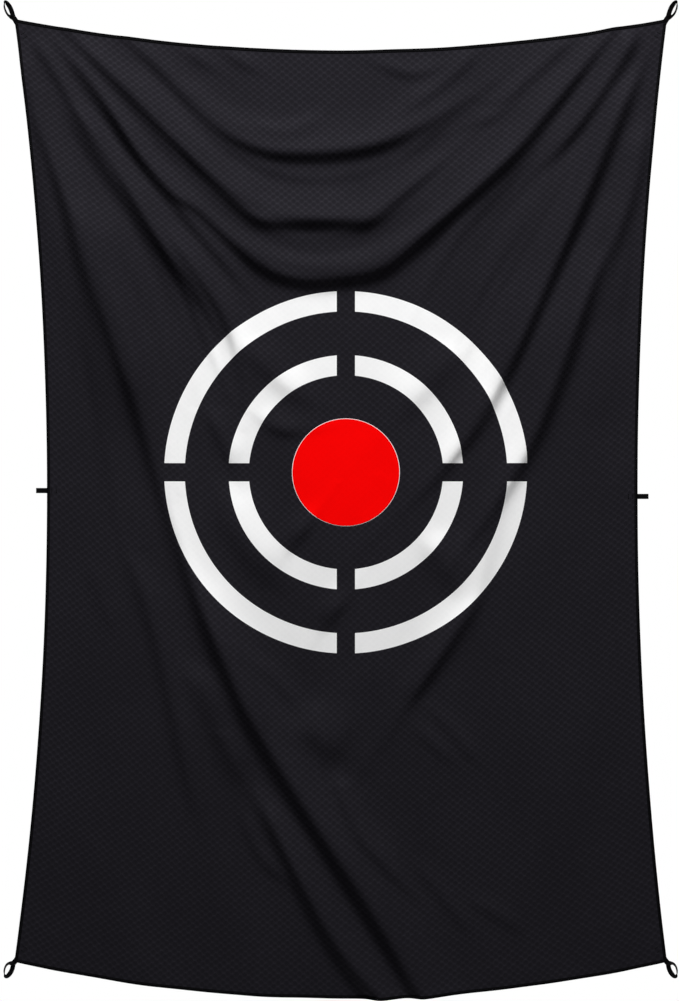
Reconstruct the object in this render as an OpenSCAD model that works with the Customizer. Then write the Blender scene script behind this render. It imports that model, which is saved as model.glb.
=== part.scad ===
// Hanging golf target cloth: one draped sheet bound with tape all round, a heat-pressed ring
// target, and six webbing loops, one at each corner and one half way down each side.
// Millimetres. X runs to the right, Y away from the player, Z up. The origin is the middle of
// the line through the two top loops' eyes, where the target hangs.

/* [Cloth] */
// Distance between the left and right corners as the cloth hangs
hung_w = 1000; // [830:1:1200]
// Distance between the top and bottom corners as the cloth hangs
hung_h = 1446; // [1200:1:1740]
// Thickness of the woven polyester sheet
cloth_t = 0.8; // [0.6:0.1:1.2]
// How far the middle of the top edge sags below its corners
sag_top = 48; // [30:1:60]
// How far the middle of the bottom edge hangs below its corners
sag_bottom = 56; // [30:1:70]
// How far the middle of the left edge draws in
bow_left = 50; // [30:1:60]
// How far the middle of the right edge draws in
bow_right = 45; // [30:1:60]
// Height of the highest fold towards the player
fold_h = 24; // [12:1:32]

/* [Edge binding] */
// Width of the folded tape on each face of the cloth
binding_w = 5; // [4:0.5:8]
// Thickness of the tape
tape_t = 0.5; // [0.3:0.1:0.8]
// Width of the line of thread that holds the tape
thread_w = 0.8; // [0.5:0.1:1]
// Thickness of the thread
thread_t = 0.4; // [0.3:0.1:0.6]
// Distance of the thread line from the cloth's edge
thread_in = 3; // [2.5:0.1:3.2]

/* [Target print] */
// Outer radius of the outer ring
outer_ring_r = 278; // [230:1:335]
// Outer radius of the inner ring
inner_ring_r = 180; // [150:1:216]
// Width of both rings
ring_w = 31; // [25:1:38]
// Width of the cross-shaped gap that splits each ring into four
ring_gap = 28; // [20:1:34]
// Radius of the red bullseye
bull_r = 82; // [68:1:99]
// Width of white base that shows round the red disc
base_rim = 0.8; // [0.4:0.1:1.5]
// Thickness of the pressed film
film_t = 0.3; // [0.2:0.1:0.5]
// Distance of the target's centre to the right of the cloth's centre line
target_x = 8; // [0:1:20]
// Distance of the target's centre above the middle of the cloth
target_rise = 28; // [0:1:50]

/* [Webbing loops] */
// Width of the webbing
web_w = 8; // [6.5:0.5:10]
// Thickness of one layer of webbing
web_t = 1.2; // [0.9:0.1:1.5]
// Reach of the top corner loops past the cloth's corners
top_reach = 36; // [31:1:45]
// Reach of the bottom corner loops past the cloth's corners
bottom_reach = 29; // [27:1:38]
// Reach of the side loops past the cloth's edge
side_reach = 18; // [16:1:22]
// Lean of the top loops from upright, outwards
top_lean = 30; // [25:1:45]
// Lean of the bottom loops from straight down, outwards
bottom_lean = 35; // [25:1:45]
// Clear width of a corner loop's eye
eye_w = 7; // [6:0.5:8]
// Clear depth of a side loop's eye, from front to back
eye_depth = 6; // [5:0.5:7]
// Length of the webbing ends sewn down behind the cloth, inside the edge tape
sewn_len = 10; // [8:1:14]
// Distance of the left side loop above the middle of the cloth
left_loop_rise = 0; // [-30:1:30]
// Distance of the right side loop above the middle of the cloth
right_loop_rise = -9; // [-30:1:30]

/* [Hidden] */

layer_gap = 0.1;          // between layers that are sewn or pressed together
butt_gap = 0.3;           // between the side tapes and the tapes they butt against
turn_gap = 0.3;           // between a loop's rolled root and the sewn webbing ends
ends_out = 3;             // the sewn webbing ends stand this far out past the cloth
corner_rings = 32;        // cross-sections along a corner loop
side_rings = 20;          // and along a side loop
bar_w = 1;                // one bar of dense zigzag stitches
bar_in = 1.5;             // from the tape and from the webbing's end to the nearest bar
cols = 19;                // cells across the cloth, the two binding strips included
rows = 28;                // cells down the cloth, the two binding strips included
flat_corner = 80;         // the cloth lies flat this far from each corner
full_folds = 190;         // and its folds have their whole height from here on
drawn_w = 1000;           // size of the hung cloth on which the fold routes are drawn
drawn_h = 1446;

// Each main fold is [width of its roll, width of its tuck, route]. A route runs from left to
// right; its points are [right of the centre line, below the top corners, share of fold_h].
// The roll swells above the route, and the cloth tucks back in below it.
FOLDS = [
    // three swags across the top, each hung between the two top corners
    [48, 30, [[-90, 213, 0.18], [-30, 206, 0.94], [75, 198, 0.94], [175, 155, 0.71],
        [245, 124, 0.53], [315, 81, 0.12]]],
    [46, 30, [[-385, 60, 0.12], [-290, 155, 0.53], [-215, 245, 0.71], [-140, 305, 0.76], [-75, 319, 0.88],
        [35, 319, 0.88], [95, 281, 0.71], [150, 250, 0.12]]],
    [50, 32, [[-400, 95, 0.12], [-305, 220, 0.53], [-245, 282, 0.53], [-160, 355, 0.88], [-75, 406, 0.94],
        [60, 403, 1], [135, 340, 1], [230, 260, 1], [320, 152, 0.71], [400, 45, 0.12]]],
    // the long diagonal from the top left corner to the foot of the cloth
    [55, 32, [[-465, 200, 0.18], [-410, 340, 0.59], [-340, 545, 0.65], [-280, 722, 0.53], [-225, 890, 0.76],
        [-160, 1035, 1], [-75, 1185, 1], [0, 1315, 1.06], [90, 1445, 0.94], [115, 1490, 0.82]]],
    // a shorter roll beside its foot
    [38, 28, [[-145, 1170, 0.12], [-85, 1290, 0.76], [-20, 1410, 0.82], [40, 1485, 0.71]]],
    // two rolls fanning from the top right corner
    [45, 30, [[110, 755, 0.12], [190, 645, 0.53], [265, 555, 0.65], [315, 430, 0.71],
        [370, 295, 0.65], [435, 155, 0.29]]],
    [50, 32, [[115, 1070, 0.12], [190, 925, 0.53], [240, 710, 0.53], [290, 660, 0.71], [345, 540, 0.71],
        [400, 420, 0.59], [455, 290, 0.18]]]
];

cloth_half = cloth_t / 2;
tape_in = cloth_half + layer_gap;                    // from the cloth's middle to the tape
thread_in_y = tape_in + tape_t + layer_gap;          // to the thread on the tape
web_in = thread_in_y + thread_t + layer_gap;         // to the webbing behind the cloth
stack_half = web_t + layer_gap / 2;                  // half of two stacked webbing layers
leg_y = (web_t + layer_gap) / 2;                     // middle of each layer from the stack's
cloth_y = -(web_in + stack_half);                    // cloth's middle; the loops are at 0
hinge_out = ends_out + turn_gap + stack_half;        // from the cloth to a loop's hinge line
top_z = -((top_reach - web_t) * cos(top_lean));              // height of the two top corners
target_z = top_z - hung_h / 2 + target_rise;

// --- the draped sheet -------------------------------------------------------------------

// Rises from 0 at both ends to 1 half way along.
function bow(t) = 4 * t * (1 - t);
function left_x(v) = -hung_w / 2 + bow_left * bow(v);
function right_x(v) = hung_w / 2 - bow_right * bow(v);
function top_edge_z(u) = top_z - sag_top * bow(u);
function bottom_edge_z(u) = top_z - hung_h - sag_bottom * bow(u);

// Distance of grid line i of n from the start of a length: a binding strip, even cells, a strip.
function station(i, n, length) =
    i == 0 ? 0 : i == n ? length : binding_w + (i - 1) * (length - 2 * binding_w) / (n - 2);

function clamp01(t) = min(1, max(0, t));
function ease(t) = t * t * (3 - 2 * t);

// Share of fold_h that one stretch a-b of a fold gives to point p, as [distance, share].
function stretch_lift(p, a, b, roll_w, tuck_w) =
    let (along = [b[0] - a[0], b[1] - a[1]],
         from_a = [p[0] - a[0], p[1] - a[1]],
         t = clamp01((along * from_a) / (along * along)),
         away = norm(from_a - t * along),
         below = along[0] * from_a[1] - along[1] * from_a[0] > 0,
         reach = away / (below ? tuck_w : roll_w))
    [away, (a[2] + t * (b[2] - a[2])) * exp(-reach * reach)];

function nearest(found, k = 1, best = 0) =
    k >= len(found) ? found[best][1]
        : nearest(found, k + 1, found[k][0] < found[best][0] ? k : best);

function fold_lift(p, fold) =
    let (route = fold[2])
    nearest([for (k = [0 : len(route) - 2]) stretch_lift(p, route[k], route[k + 1], fold[0], fold[1])]);

function sum(list, k = 0) = k >= len(list) ? 0 : list[k] + sum(list, k + 1);

// 0 in the flat corners of the cloth, 1 over the rest of it.
function corner_ease(x, below) =
    let (nearest_corner = min([for (cx = [-hung_w / 2, hung_w / 2], cz = [0, hung_h])
        norm([x - cx, below - cz])]))
    ease(clamp01((nearest_corner - flat_corner) / (full_folds - flat_corner)));

// Height of the folds towards the player at one place of the hung cloth.
function lift(x, z) =
    let (below = top_z - z, drawn = [x * drawn_w / hung_w, below * drawn_h / hung_h])
    fold_h * corner_ease(x, below) * sum([for (fold = FOLDS) fold_lift(drawn, fold)]);

// Grid point i across and j down, seen from the front, as [x, z].
function seen_point(i, j) =
    let (u = station(i, cols, hung_w) / hung_w,
         v = station(j, rows, hung_h) / hung_h)
    [left_x(v) + station(i, cols, right_x(v) - left_x(v)),
     top_edge_z(u) - station(j, rows, top_edge_z(u) - bottom_edge_z(u))];

// The tape keeps the cloth level across its own width.
function at_edge(k, n) = k == 1 ? 0 : k == n - 1 ? n : k;
function cloth_point(i, j) =
    let (p = seen_point(i, j), e = seen_point(at_edge(i, cols), at_edge(j, rows)))
    [p[0], cloth_y - lift(e[0], e[1]), p[1]];

GRID = [for (i = [0 : cols]) [for (j = [0 : rows]) cloth_point(i, j)]];

// The solid between two copies of the draped surface, moved to y offsets front and back,
// over grid columns i0 to i1 and rows j0 to j1.
module sheet_layer(i0, i1, j0, j1, front, back) {
    n = i1 - i0 + 1;
    m = j1 - j0 + 1;
    half = n * m;
    function at(i, j) = (i - i0) * m + (j - j0);
    rim = concat(
        [for (i = [i0 : i1 - 1]) at(i, j0)], [for (j = [j0 : j1 - 1]) at(i1, j)],
        [for (i = [i1 : -1 : i0 + 1]) at(i, j1)], [for (j = [j1 : -1 : j0 + 1]) at(i0, j)]);
    function after(k) = rim[(k + 1) % len(rim)];
    polyhedron(
        points = [for (y = [front, back]) for (i = [i0 : i1]) for (j = [j0 : j1]) GRID[i][j] + [0, y, 0]],
        faces = concat(
            [for (i = [i0 : i1 - 1], j = [j0 : j1 - 1]) each [
                [at(i, j), at(i + 1, j), at(i + 1, j + 1)],
                [at(i, j), at(i + 1, j + 1), at(i, j + 1)],
                [half + at(i, j), half + at(i + 1, j + 1), half + at(i + 1, j)],
                [half + at(i, j), half + at(i, j + 1), half + at(i + 1, j + 1)]]],
            [for (k = [0 : len(rim) - 1]) each [
                [rim[k], half + rim[k], half + after(k)],
                [rim[k], half + after(k), after(k)]]]));
}

module cloth_panel() color("#1c1b20") sheet_layer(0, cols, 0, rows, -cloth_half, cloth_half);

// --- swept strips -----------------------------------------------------------------------

// Joins equal rings of points into one solid. forward says for ring place r whether the two
// triangles of its side share the diagonal from r to the next ring's r + 1; caps are triangles.
module swept(rings, forward, caps, flip = false) {
    m = len(rings[0]);
    last = (len(rings) - 1) * m;
    sides = [for (k = [0 : len(rings) - 2], r = [0 : m - 1])
        let (a = k * m + r, b = k * m + (r + 1) % m, c = a + m, d = b + m)
        each forward[r] ? [[a, d, b], [a, c, d]] : [[a, c, b], [b, c, d]]];
    faces = concat(sides, [for (t = caps) t], [for (t = caps) [t[2] + last, t[1] + last, t[0] + last]]);
    polyhedron(
        points = [for (ring = rings) each ring],
        faces = flip ? [for (f = faces) [f[2], f[1], f[0]]] : faces);
}

// The four edges as [points on the edge, points one binding width in, outward direction,
// whether the cloth's own diagonals run from the edge inwards, whether the sweep is reversed].
EDGE = [
    ["top", [for (i = [0 : cols]) GRID[i][0]], [for (i = [0 : cols]) GRID[i][1]], [0, 0, 1], true, true],
    ["bottom", [for (i = [0 : cols]) GRID[i][rows]], [for (i = [0 : cols]) GRID[i][rows - 1]],
        [0, 0, -1], false, false],
    ["left", [for (j = [1 : rows - 1]) GRID[0][j]], [for (j = [1 : rows - 1]) GRID[1][j]],
        [-1, 0, 0], true, false],
    ["right", [for (j = [1 : rows - 1]) GRID[cols][j]], [for (j = [1 : rows - 1]) GRID[cols - 1][j]],
        [1, 0, 0], false, true]
];

// Shortens both ends of a side strip, where it butts against the strip across it.
function strip_cut(side) = side > 1 ? butt_gap / norm(EDGE[side][1][1] - EDGE[side][1][0]) : 0;
function eased_ends(points, k, cut) =
    k == 0 ? points[0] + cut * (points[1] - points[0])
        : k == len(points) - 1 ? points[k] + cut * (points[k - 1] - points[k])
        : points[k];

// Tape folded over one edge: a U section with the cloth between its two flanges.
module binding(side) {
    edge = EDGE[side];
    out = edge[3];
    cut = strip_cut(side);
    outside = tape_in + tape_t;
    rings = [for (k = [0 : len(edge[1]) - 1])
        let (e = eased_ends(edge[1], k, cut), h = eased_ends(edge[2], k, cut),
             near = e + layer_gap * out, far = e + (layer_gap + tape_t) * out,
             front = [0, -1, 0])
        [h + outside * front, far + outside * front, far - outside * front, h - outside * front,
         h - tape_in * front, near - tape_in * front, near + tape_in * front, h + tape_in * front]];
    from_edge = edge[4];
    on_edge = [false, true, true, false, false, true, true, false];
    forward = [for (r = [0 : 7]) let (q = on_edge[(r + 1) % 8])
        on_edge[r] == q ? true : from_edge ? on_edge[r] : q];
    caps = [[7, 0, 1], [7, 1, 6], [6, 1, 2], [6, 2, 5], [5, 2, 3], [5, 3, 4]];
    color("#060607") swept(rings, forward, caps, edge[5]);
}

// A line of thread on each flange of one edge's tape.
module hem_thread(side) {
    edge = EDGE[side];
    cut = strip_cut(side);
    color("#0b0b0d") for (face = [-1, 1]) {
        rings = [for (k = [0 : len(edge[1]) - 1])
            let (e = eased_ends(edge[1], k, cut), h = eased_ends(edge[2], k, cut),
                 outer = e + (thread_in - thread_w / 2) / binding_w * (h - e),
                 inner = e + (thread_in + thread_w / 2) / binding_w * (h - e),
                 low = [0, face * thread_in_y, 0], high = [0, face * (thread_in_y + thread_t), 0])
            [inner + low, outer + low, outer + high, inner + high]];
        swept(rings, [true, true, true, true], [[0, 1, 2], [0, 2, 3]], face > 0 ? !edge[5] : edge[5]);
    }
}

// --- target print -----------------------------------------------------------------------

function column_of(x) = (x + hung_w / 2 - bow_left) / (hung_w - bow_left - bow_right) * (cols - 2) + 1;
function row_of(z) = (top_z - sag_top - z) / (hung_h + sag_bottom - sag_top) * (rows - 2) + 1;

// A piece of film pressed on the front of the cloth, cut to the 2D shape given as its child.
// low and high bound that shape, right of and above the target's centre. layer counts from 0.
module film(low, high, layer) {
    back = -(tape_in + layer * (film_t + layer_gap));
    spare = 0.45;         // of a cell: the curve of the cloth's edges moves the grid by less
    i0 = max(0, floor(column_of(target_x + low[0]) - spare));
    i1 = min(cols, ceil(column_of(target_x + high[0]) + spare));
    j0 = max(0, floor(row_of(target_z + high[1]) - spare));
    j1 = min(rows, ceil(row_of(target_z + low[1]) + spare));
    deepest = 200;
    intersection() {
        sheet_layer(i0, i1, j0, j1, back - film_t, back);
        translate([target_x, deepest, target_z]) rotate([90, 0, 0])
            linear_extrude(2 * deepest) children();
    }
}

// A quarter of a ring, cut back from both axes by half of the gap. across and up are 1 or -1.
module ring_quarter(r, across, up) {
    low = [across < 0 ? -r : 0, up < 0 ? -r : 0];
    color("#f7f7f7") film(low, low + [r, r], 0) intersection() {
        difference() {
            circle(r, $fn = 96);
            circle(r - ring_w, $fn = 96);
        }
        scale([across, up]) translate([ring_gap / 2, ring_gap / 2]) square(r);
    }
}

module disc(r, layer) film([-r, -r], [r, r], layer) circle(r, $fn = 96);
module bullseye_white_base() color("#f7f7f7") disc(bull_r + base_rim, 0);
module bullseye_red_disc() color("#f50505") disc(bull_r, 1);

// --- webbing loops ----------------------------------------------------------------------
// A loop is drawn with its hinge line along X through the origin and its reach along Z. Its
// inner leg is on the +X side and the player looks along +Y. Places along it run from s = 0
// at one end of the webbing to s = 1 at the other, with the tip of the loop at s = 0.5.

// Turn of the webbing of a corner loop from edge-on (0) to face-on (90), in degrees.
LOOP_TURN = [[0, 90], [0.1, 90], [0.17, 74], [0.25, 54], [0.4, 28], [0.5, 12], [0.62, 8],
    [0.75, 14], [0.83, 74], [0.9, 90], [1, 90]];
MOST_SWELL = 4 / (3 * sqrt(3));      // highest value of swell(s)

function swell(s) = sin(360 * s) * sin(180 * s);
function climb(s, length) = length * (1 - cos(360 * s)) / 2;
function half_seen(turn) = (web_w * sin(turn) + web_t * cos(turn)) / 2;
inner_leg_x = eye_w / 4 + half_seen(46);
outer_leg_x = eye_w * 3 / 4 + half_seen(12);

// Middle of the webbing along a loop of the given length.
function corner_line(s, length) =
    [(s < 0.5 ? inner_leg_x : outer_leg_x) / MOST_SWELL * swell(s),
     leg_y * cos(180 * ease(s)) * (1 + 0.8 * pow(sin(360 * s), 2)),
     climb(s, length)];
function side_line(s, length) =
    let (wide = swell(s) / MOST_SWELL)
    [0,
     -(eye_depth + web_t) / 2 * sign(wide) * pow(abs(wide), 1.6) - leg_y * pow(cos(180 * s), 3),
     climb(s, length)];

function unit(v) = v / norm(v);
function along(line, s, length) =
    let (step = 0.004) unit(line(min(1, s + step), length) - line(max(0, s - step), length));

// One level cross-section of webbing at place c, running along direction d, its width along w.
function web_section(c, d, w) =
    let (across = w * web_w / 2, through = unit(cross(d, w)) * web_t / 2)
    [c - across - through, c + across - through, c + across + through, c - across + through];

// The webbing of one loop, its root rounded about the hinge line.
module loop(reach, line, turn_at, rings) {
    length = reach - hinge_out - web_t / 2;
    sections = [for (k = [0 : rings]) let (s = k / rings, turn = turn_at(s))
        web_section(line(s, length), along(line, s, length), [sin(turn), -cos(turn), 0])];
    color("#0a0a0b") union() {
        swept(sections, [true, true, true, true], [[0, 1, 2], [0, 2, 3]]);
        rotate([0, 90, 0])
            cylinder(r = web_t, h = web_w - 2 * layer_gap, center = true, $fn = 48);
    }
}

// Length of webbing behind the cloth whose slant from the cloth's edge is the given angle.
function ends_in(slant) =
    (binding_w + (web_w / 2) * cos(slant)) / sin(slant) + sewn_len;

// The two webbing ends, one on the other, sewn down behind the cloth.
module loop_ends(slant) {
    length = ends_in(slant) + ends_out;
    color("#0a0a0b") for (layer = [-1, 1])
        translate([0, layer * leg_y, -(turn_gap + stack_half) - length / 2])
            cube([web_w, web_t, length], center = true);
}

// Bars of dense stitching across the webbing ends, on the front of the cloth and on their back.
module bartack(slant) {
    front_y = cloth_y - tape_in - thread_t / 2;
    back_y = stack_half + layer_gap + thread_t / 2;
    bars_in = [ends_in(slant) - sewn_len + bar_in, ends_in(slant) - bar_in];
    color("#0b0b0d") for (bar = bars_in, y = [front_y, back_y])
        translate([0, y, -(hinge_out + bar)])
            cube([web_w - bar_w, thread_t, bar_w], center = true);
}

// Puts a corner piece in place. across is 1 at the right, -1 at the left; up is 1 at the top.
module at_corner(across, up) {
    corner_z = up > 0 ? top_z : top_z - hung_h;
    translate([across * hung_w / 2, 0, corner_z])
        scale([across, 1, up]) rotate([0, corner_lean(up), 0]) translate([0, 0, hinge_out])
            mirror([1, 0, 0]) children();
}
function corner_lean(up) = up > 0 ? top_lean : bottom_lean;

// Least angle between a corner's webbing and the two edges that meet there.
function corner_slant(across, up) =
    min(corner_lean(up) - atan(4 * (across > 0 ? bow_right : bow_left) / hung_h),
        90 - corner_lean(up) - (up > 0 ? atan(4 * sag_top / hung_w) : 0));

// Puts a side piece in place at a height above the middle of the cloth.
module at_side(across, rise) {
    v = 0.5 - rise / hung_h;
    x = across > 0 ? right_x(v) : left_x(v);
    z = top_z - hung_h / 2 + rise;
    translate([x, -lift(x, z), z])
        scale([across, 1, 1]) translate([hinge_out, 0, 0]) rotate([0, 90, 0]) children();
}

module corner_loop(across, up) at_corner(across, up)
    loop(up > 0 ? top_reach : bottom_reach, function(s, n) corner_line(s, n),
        function(s) lookup(s, LOOP_TURN), corner_rings);
module side_loop(across, rise) at_side(across, rise)
    loop(side_reach, function(s, n) side_line(s, n), function(s) 90, side_rings);

cloth_panel();
binding(0);  // top_binding
binding(1);  // bottom_binding
binding(2);  // left_binding
binding(3);  // right_binding
hem_thread(0);  // top_hem_thread
hem_thread(1);  // bottom_hem_thread
hem_thread(2);  // left_hem_thread
hem_thread(3);  // right_hem_thread
ring_quarter(outer_ring_r, -1, 1);  // outer_ring_top_left
ring_quarter(outer_ring_r, 1, 1);  // outer_ring_top_right
ring_quarter(outer_ring_r, -1, -1);  // outer_ring_bottom_left
ring_quarter(outer_ring_r, 1, -1);  // outer_ring_bottom_right
ring_quarter(inner_ring_r, -1, 1);  // inner_ring_top_left
ring_quarter(inner_ring_r, 1, 1);  // inner_ring_top_right
ring_quarter(inner_ring_r, -1, -1);  // inner_ring_bottom_left
ring_quarter(inner_ring_r, 1, -1);  // inner_ring_bottom_right
bullseye_white_base();
bullseye_red_disc();
corner_loop(-1, 1);  // top_left_loop
corner_loop(1, 1);  // top_right_loop
corner_loop(-1, -1);  // bottom_left_loop
corner_loop(1, -1);  // bottom_right_loop
side_loop(-1, left_loop_rise);  // left_side_loop
side_loop(1, right_loop_rise);  // right_side_loop
at_corner(-1, 1) loop_ends(corner_slant(-1, 1));  // top_left_loop_ends
at_corner(1, 1) loop_ends(corner_slant(1, 1));  // top_right_loop_ends
at_corner(-1, -1) loop_ends(corner_slant(-1, -1));  // bottom_left_loop_ends
at_corner(1, -1) loop_ends(corner_slant(1, -1));  // bottom_right_loop_ends
at_side(-1, left_loop_rise) loop_ends(90);  // left_side_loop_ends
at_side(1, right_loop_rise) loop_ends(90);  // right_side_loop_ends
at_corner(-1, 1) bartack(corner_slant(-1, 1));  // top_left_bartack
at_corner(1, 1) bartack(corner_slant(1, 1));  // top_right_bartack
at_corner(-1, -1) bartack(corner_slant(-1, -1));  // bottom_left_bartack
at_corner(1, -1) bartack(corner_slant(1, -1));  // bottom_right_bartack
at_side(-1, left_loop_rise) bartack(90);  // left_side_bartack
at_side(1, right_loop_rise) bartack(90);  // right_side_bartack
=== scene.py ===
"""Hanging golf target cloth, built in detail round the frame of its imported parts.

Metres. X runs to the right, Y away from the player, Z up. The origin is the middle of the line
through the two top loops' eyes, on which the target hangs. Sizes of sewn details are written in
millimetres and scaled by MM where a mesh is made.
"""

import logging
import math
from collections.abc import Sequence
from dataclasses import dataclass, field
from enum import Enum

import bpy
import numpy as np
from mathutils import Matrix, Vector


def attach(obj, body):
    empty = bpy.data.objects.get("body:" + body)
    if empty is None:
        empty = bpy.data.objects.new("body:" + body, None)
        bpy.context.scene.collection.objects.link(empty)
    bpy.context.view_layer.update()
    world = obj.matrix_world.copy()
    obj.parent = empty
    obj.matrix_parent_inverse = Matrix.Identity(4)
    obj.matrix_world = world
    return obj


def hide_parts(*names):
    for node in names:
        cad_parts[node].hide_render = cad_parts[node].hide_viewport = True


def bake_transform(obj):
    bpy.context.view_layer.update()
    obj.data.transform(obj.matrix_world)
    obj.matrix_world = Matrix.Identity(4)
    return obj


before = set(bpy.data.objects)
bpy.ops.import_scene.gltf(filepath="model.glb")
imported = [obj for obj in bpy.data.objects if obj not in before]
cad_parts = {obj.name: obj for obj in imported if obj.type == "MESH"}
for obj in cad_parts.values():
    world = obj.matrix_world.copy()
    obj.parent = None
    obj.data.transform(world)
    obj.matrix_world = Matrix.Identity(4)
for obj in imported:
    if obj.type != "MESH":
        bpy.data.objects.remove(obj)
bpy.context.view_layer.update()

MM = 0.001
CLOTH_BODY = "cloth"
SHARP_ANGLE = math.radians(48)

log = logging.getLogger("target_cloth")


class Slot(Enum):
    """Material slots of the part's record."""

    CLOTH = "cloth"
    TAPE = "edge_tape"
    HEM = "hem_thread"
    BAR = "bartack_thread"
    WEBBING = "loop_webbing"
    WHITE = "white_film"
    RED = "red_film"


class Edge(Enum):
    """The four edges of the cloth, named as in the parts' names."""

    TOP = "top"
    BOTTOM = "bottom"
    LEFT = "left"
    RIGHT = "right"


class Hang(Enum):
    """Where a webbing loop is sewn on: (name, across, up); up is 0 half way down a side."""

    TOP_LEFT = ("top_left", -1, 1)
    TOP_RIGHT = ("top_right", 1, 1)
    BOTTOM_LEFT = ("bottom_left", -1, -1)
    BOTTOM_RIGHT = ("bottom_right", 1, -1)
    LEFT_SIDE = ("left_side", -1, 0)
    RIGHT_SIDE = ("right_side", 1, 0)


# --- small helpers ------------------------------------------------------------------------


def eased(t: np.ndarray | float) -> np.ndarray:
    """Rises smoothly from 0 to 1 as t does."""
    t = np.clip(t, 0, 1)
    return t * t * (3 - 2 * t)


def unit(vectors: np.ndarray) -> np.ndarray:
    """Scales each row to length 1."""
    return vectors / np.linalg.norm(vectors, axis=-1, keepdims=True)


def deselect_all() -> None:
    """Leaves edit mode's selection empty and no object active."""
    for item in bpy.context.selected_objects:
        item.select_set(False)
    bpy.context.view_layer.objects.active = None


def only(item: bpy.types.Object) -> None:
    """Selects one object and makes it active."""
    deselect_all()
    item.select_set(True)
    bpy.context.view_layer.objects.active = item


def signed_volume(vertices: np.ndarray, faces: Sequence[Sequence[int]]) -> float:
    """Six times the volume that closed faces enclose, negative where they point inwards."""
    total = 0.0
    sizes: dict[int, list[Sequence[int]]] = {}
    for face in faces:
        sizes.setdefault(len(face), []).append(face)
    for size, group in sizes.items():
        corners = vertices[np.array(group)]
        for k in range(1, size - 1):
            total += np.einsum("ij,ij->", corners[:, 0], np.cross(corners[:, k], corners[:, k + 1]))
    return float(total)


def make_piece(
    name: str,
    vertices: np.ndarray,
    faces: Sequence[Sequence[int]],
    uv: np.ndarray | None = None,
    sharp: float = SHARP_ANGLE,
) -> bpy.types.Object:
    """Makes a closed, smooth-shaded mesh object at the origin, its faces pointing outwards.

    Args:
        name: Name of the piece.
        vertices: Places in the row frame, metres, one row each.
        faces: Corner indices of each face, all wound the same way.
        uv: Flat place of each vertex in metres, for weave that follows the surface.
        sharp: Edges that turn by more than this angle stay crisp.

    Returns:
        The new object.
    """
    if signed_volume(vertices, faces) < 0:
        faces = [face[::-1] for face in faces]
    mesh = bpy.data.meshes.new(name)
    mesh.from_pydata(vertices.tolist(), [], [list(face) for face in faces])
    if uv is not None:
        layer = mesh.uv_layers.new(name="flat")
        corners = np.empty(len(mesh.loops), dtype=np.int32)
        mesh.loops.foreach_get("vertex_index", corners)
        layer.data.foreach_set("uv", uv[corners].astype(np.float32).ravel())
    mesh.validate()
    mesh.update()
    piece = bpy.data.objects.new(name, mesh)
    bpy.context.scene.collection.objects.link(piece)
    only(piece)
    bpy.ops.object.shade_smooth_by_angle(angle=sharp)
    return piece


def dress(
    piece: bpy.types.Object,
    material: bpy.types.Material,
    nodes: Sequence[str],
    body: str | None = CLOTH_BODY,
) -> bpy.types.Object:
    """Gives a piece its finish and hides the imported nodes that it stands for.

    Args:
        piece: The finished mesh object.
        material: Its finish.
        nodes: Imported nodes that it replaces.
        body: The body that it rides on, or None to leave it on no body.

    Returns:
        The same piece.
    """
    piece.data.materials.clear()
    piece.data.materials.append(material)
    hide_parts(*nodes)
    if body is not None:
        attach(piece, body)
    return piece


def sheet_faces(across: int, down: int) -> list[tuple[int, ...]]:
    """Faces of a closed sheet: a front grid of across x down points, then the same grid behind."""
    half = across * down
    index = np.arange(half).reshape(across, down)
    a, b, c, d = index[:-1, :-1], index[:-1, 1:], index[1:, 1:], index[1:, :-1]
    front = np.stack([a, b, c, d], -1).reshape(-1, 4)
    back = front[:, ::-1] + half
    rim = np.concatenate([index[:-1, 0], index[-1, :-1], index[:0:-1, -1], index[0, :0:-1]])
    after = np.roll(rim, -1)
    sides = np.stack([rim, after, after + half, rim + half], -1)
    return [tuple(face) for face in np.concatenate([front, back, sides]).tolist()]


def swept_faces(rings: int, around: int) -> list[tuple[int, ...]]:
    """Faces of a strip whose closed section has `around` points, capped at both ends."""
    index = np.arange(rings * around).reshape(rings, around)
    after = np.roll(index, -1, axis=1)
    sides = np.stack([index[:-1], after[:-1], after[1:], index[1:]], -1).reshape(-1, 4).tolist()
    caps = [index[0, ::-1].tolist(), index[-1].tolist()]
    return [tuple(face) for face in sides + caps]


# --- the hung shape -----------------------------------------------------------------------


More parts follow.
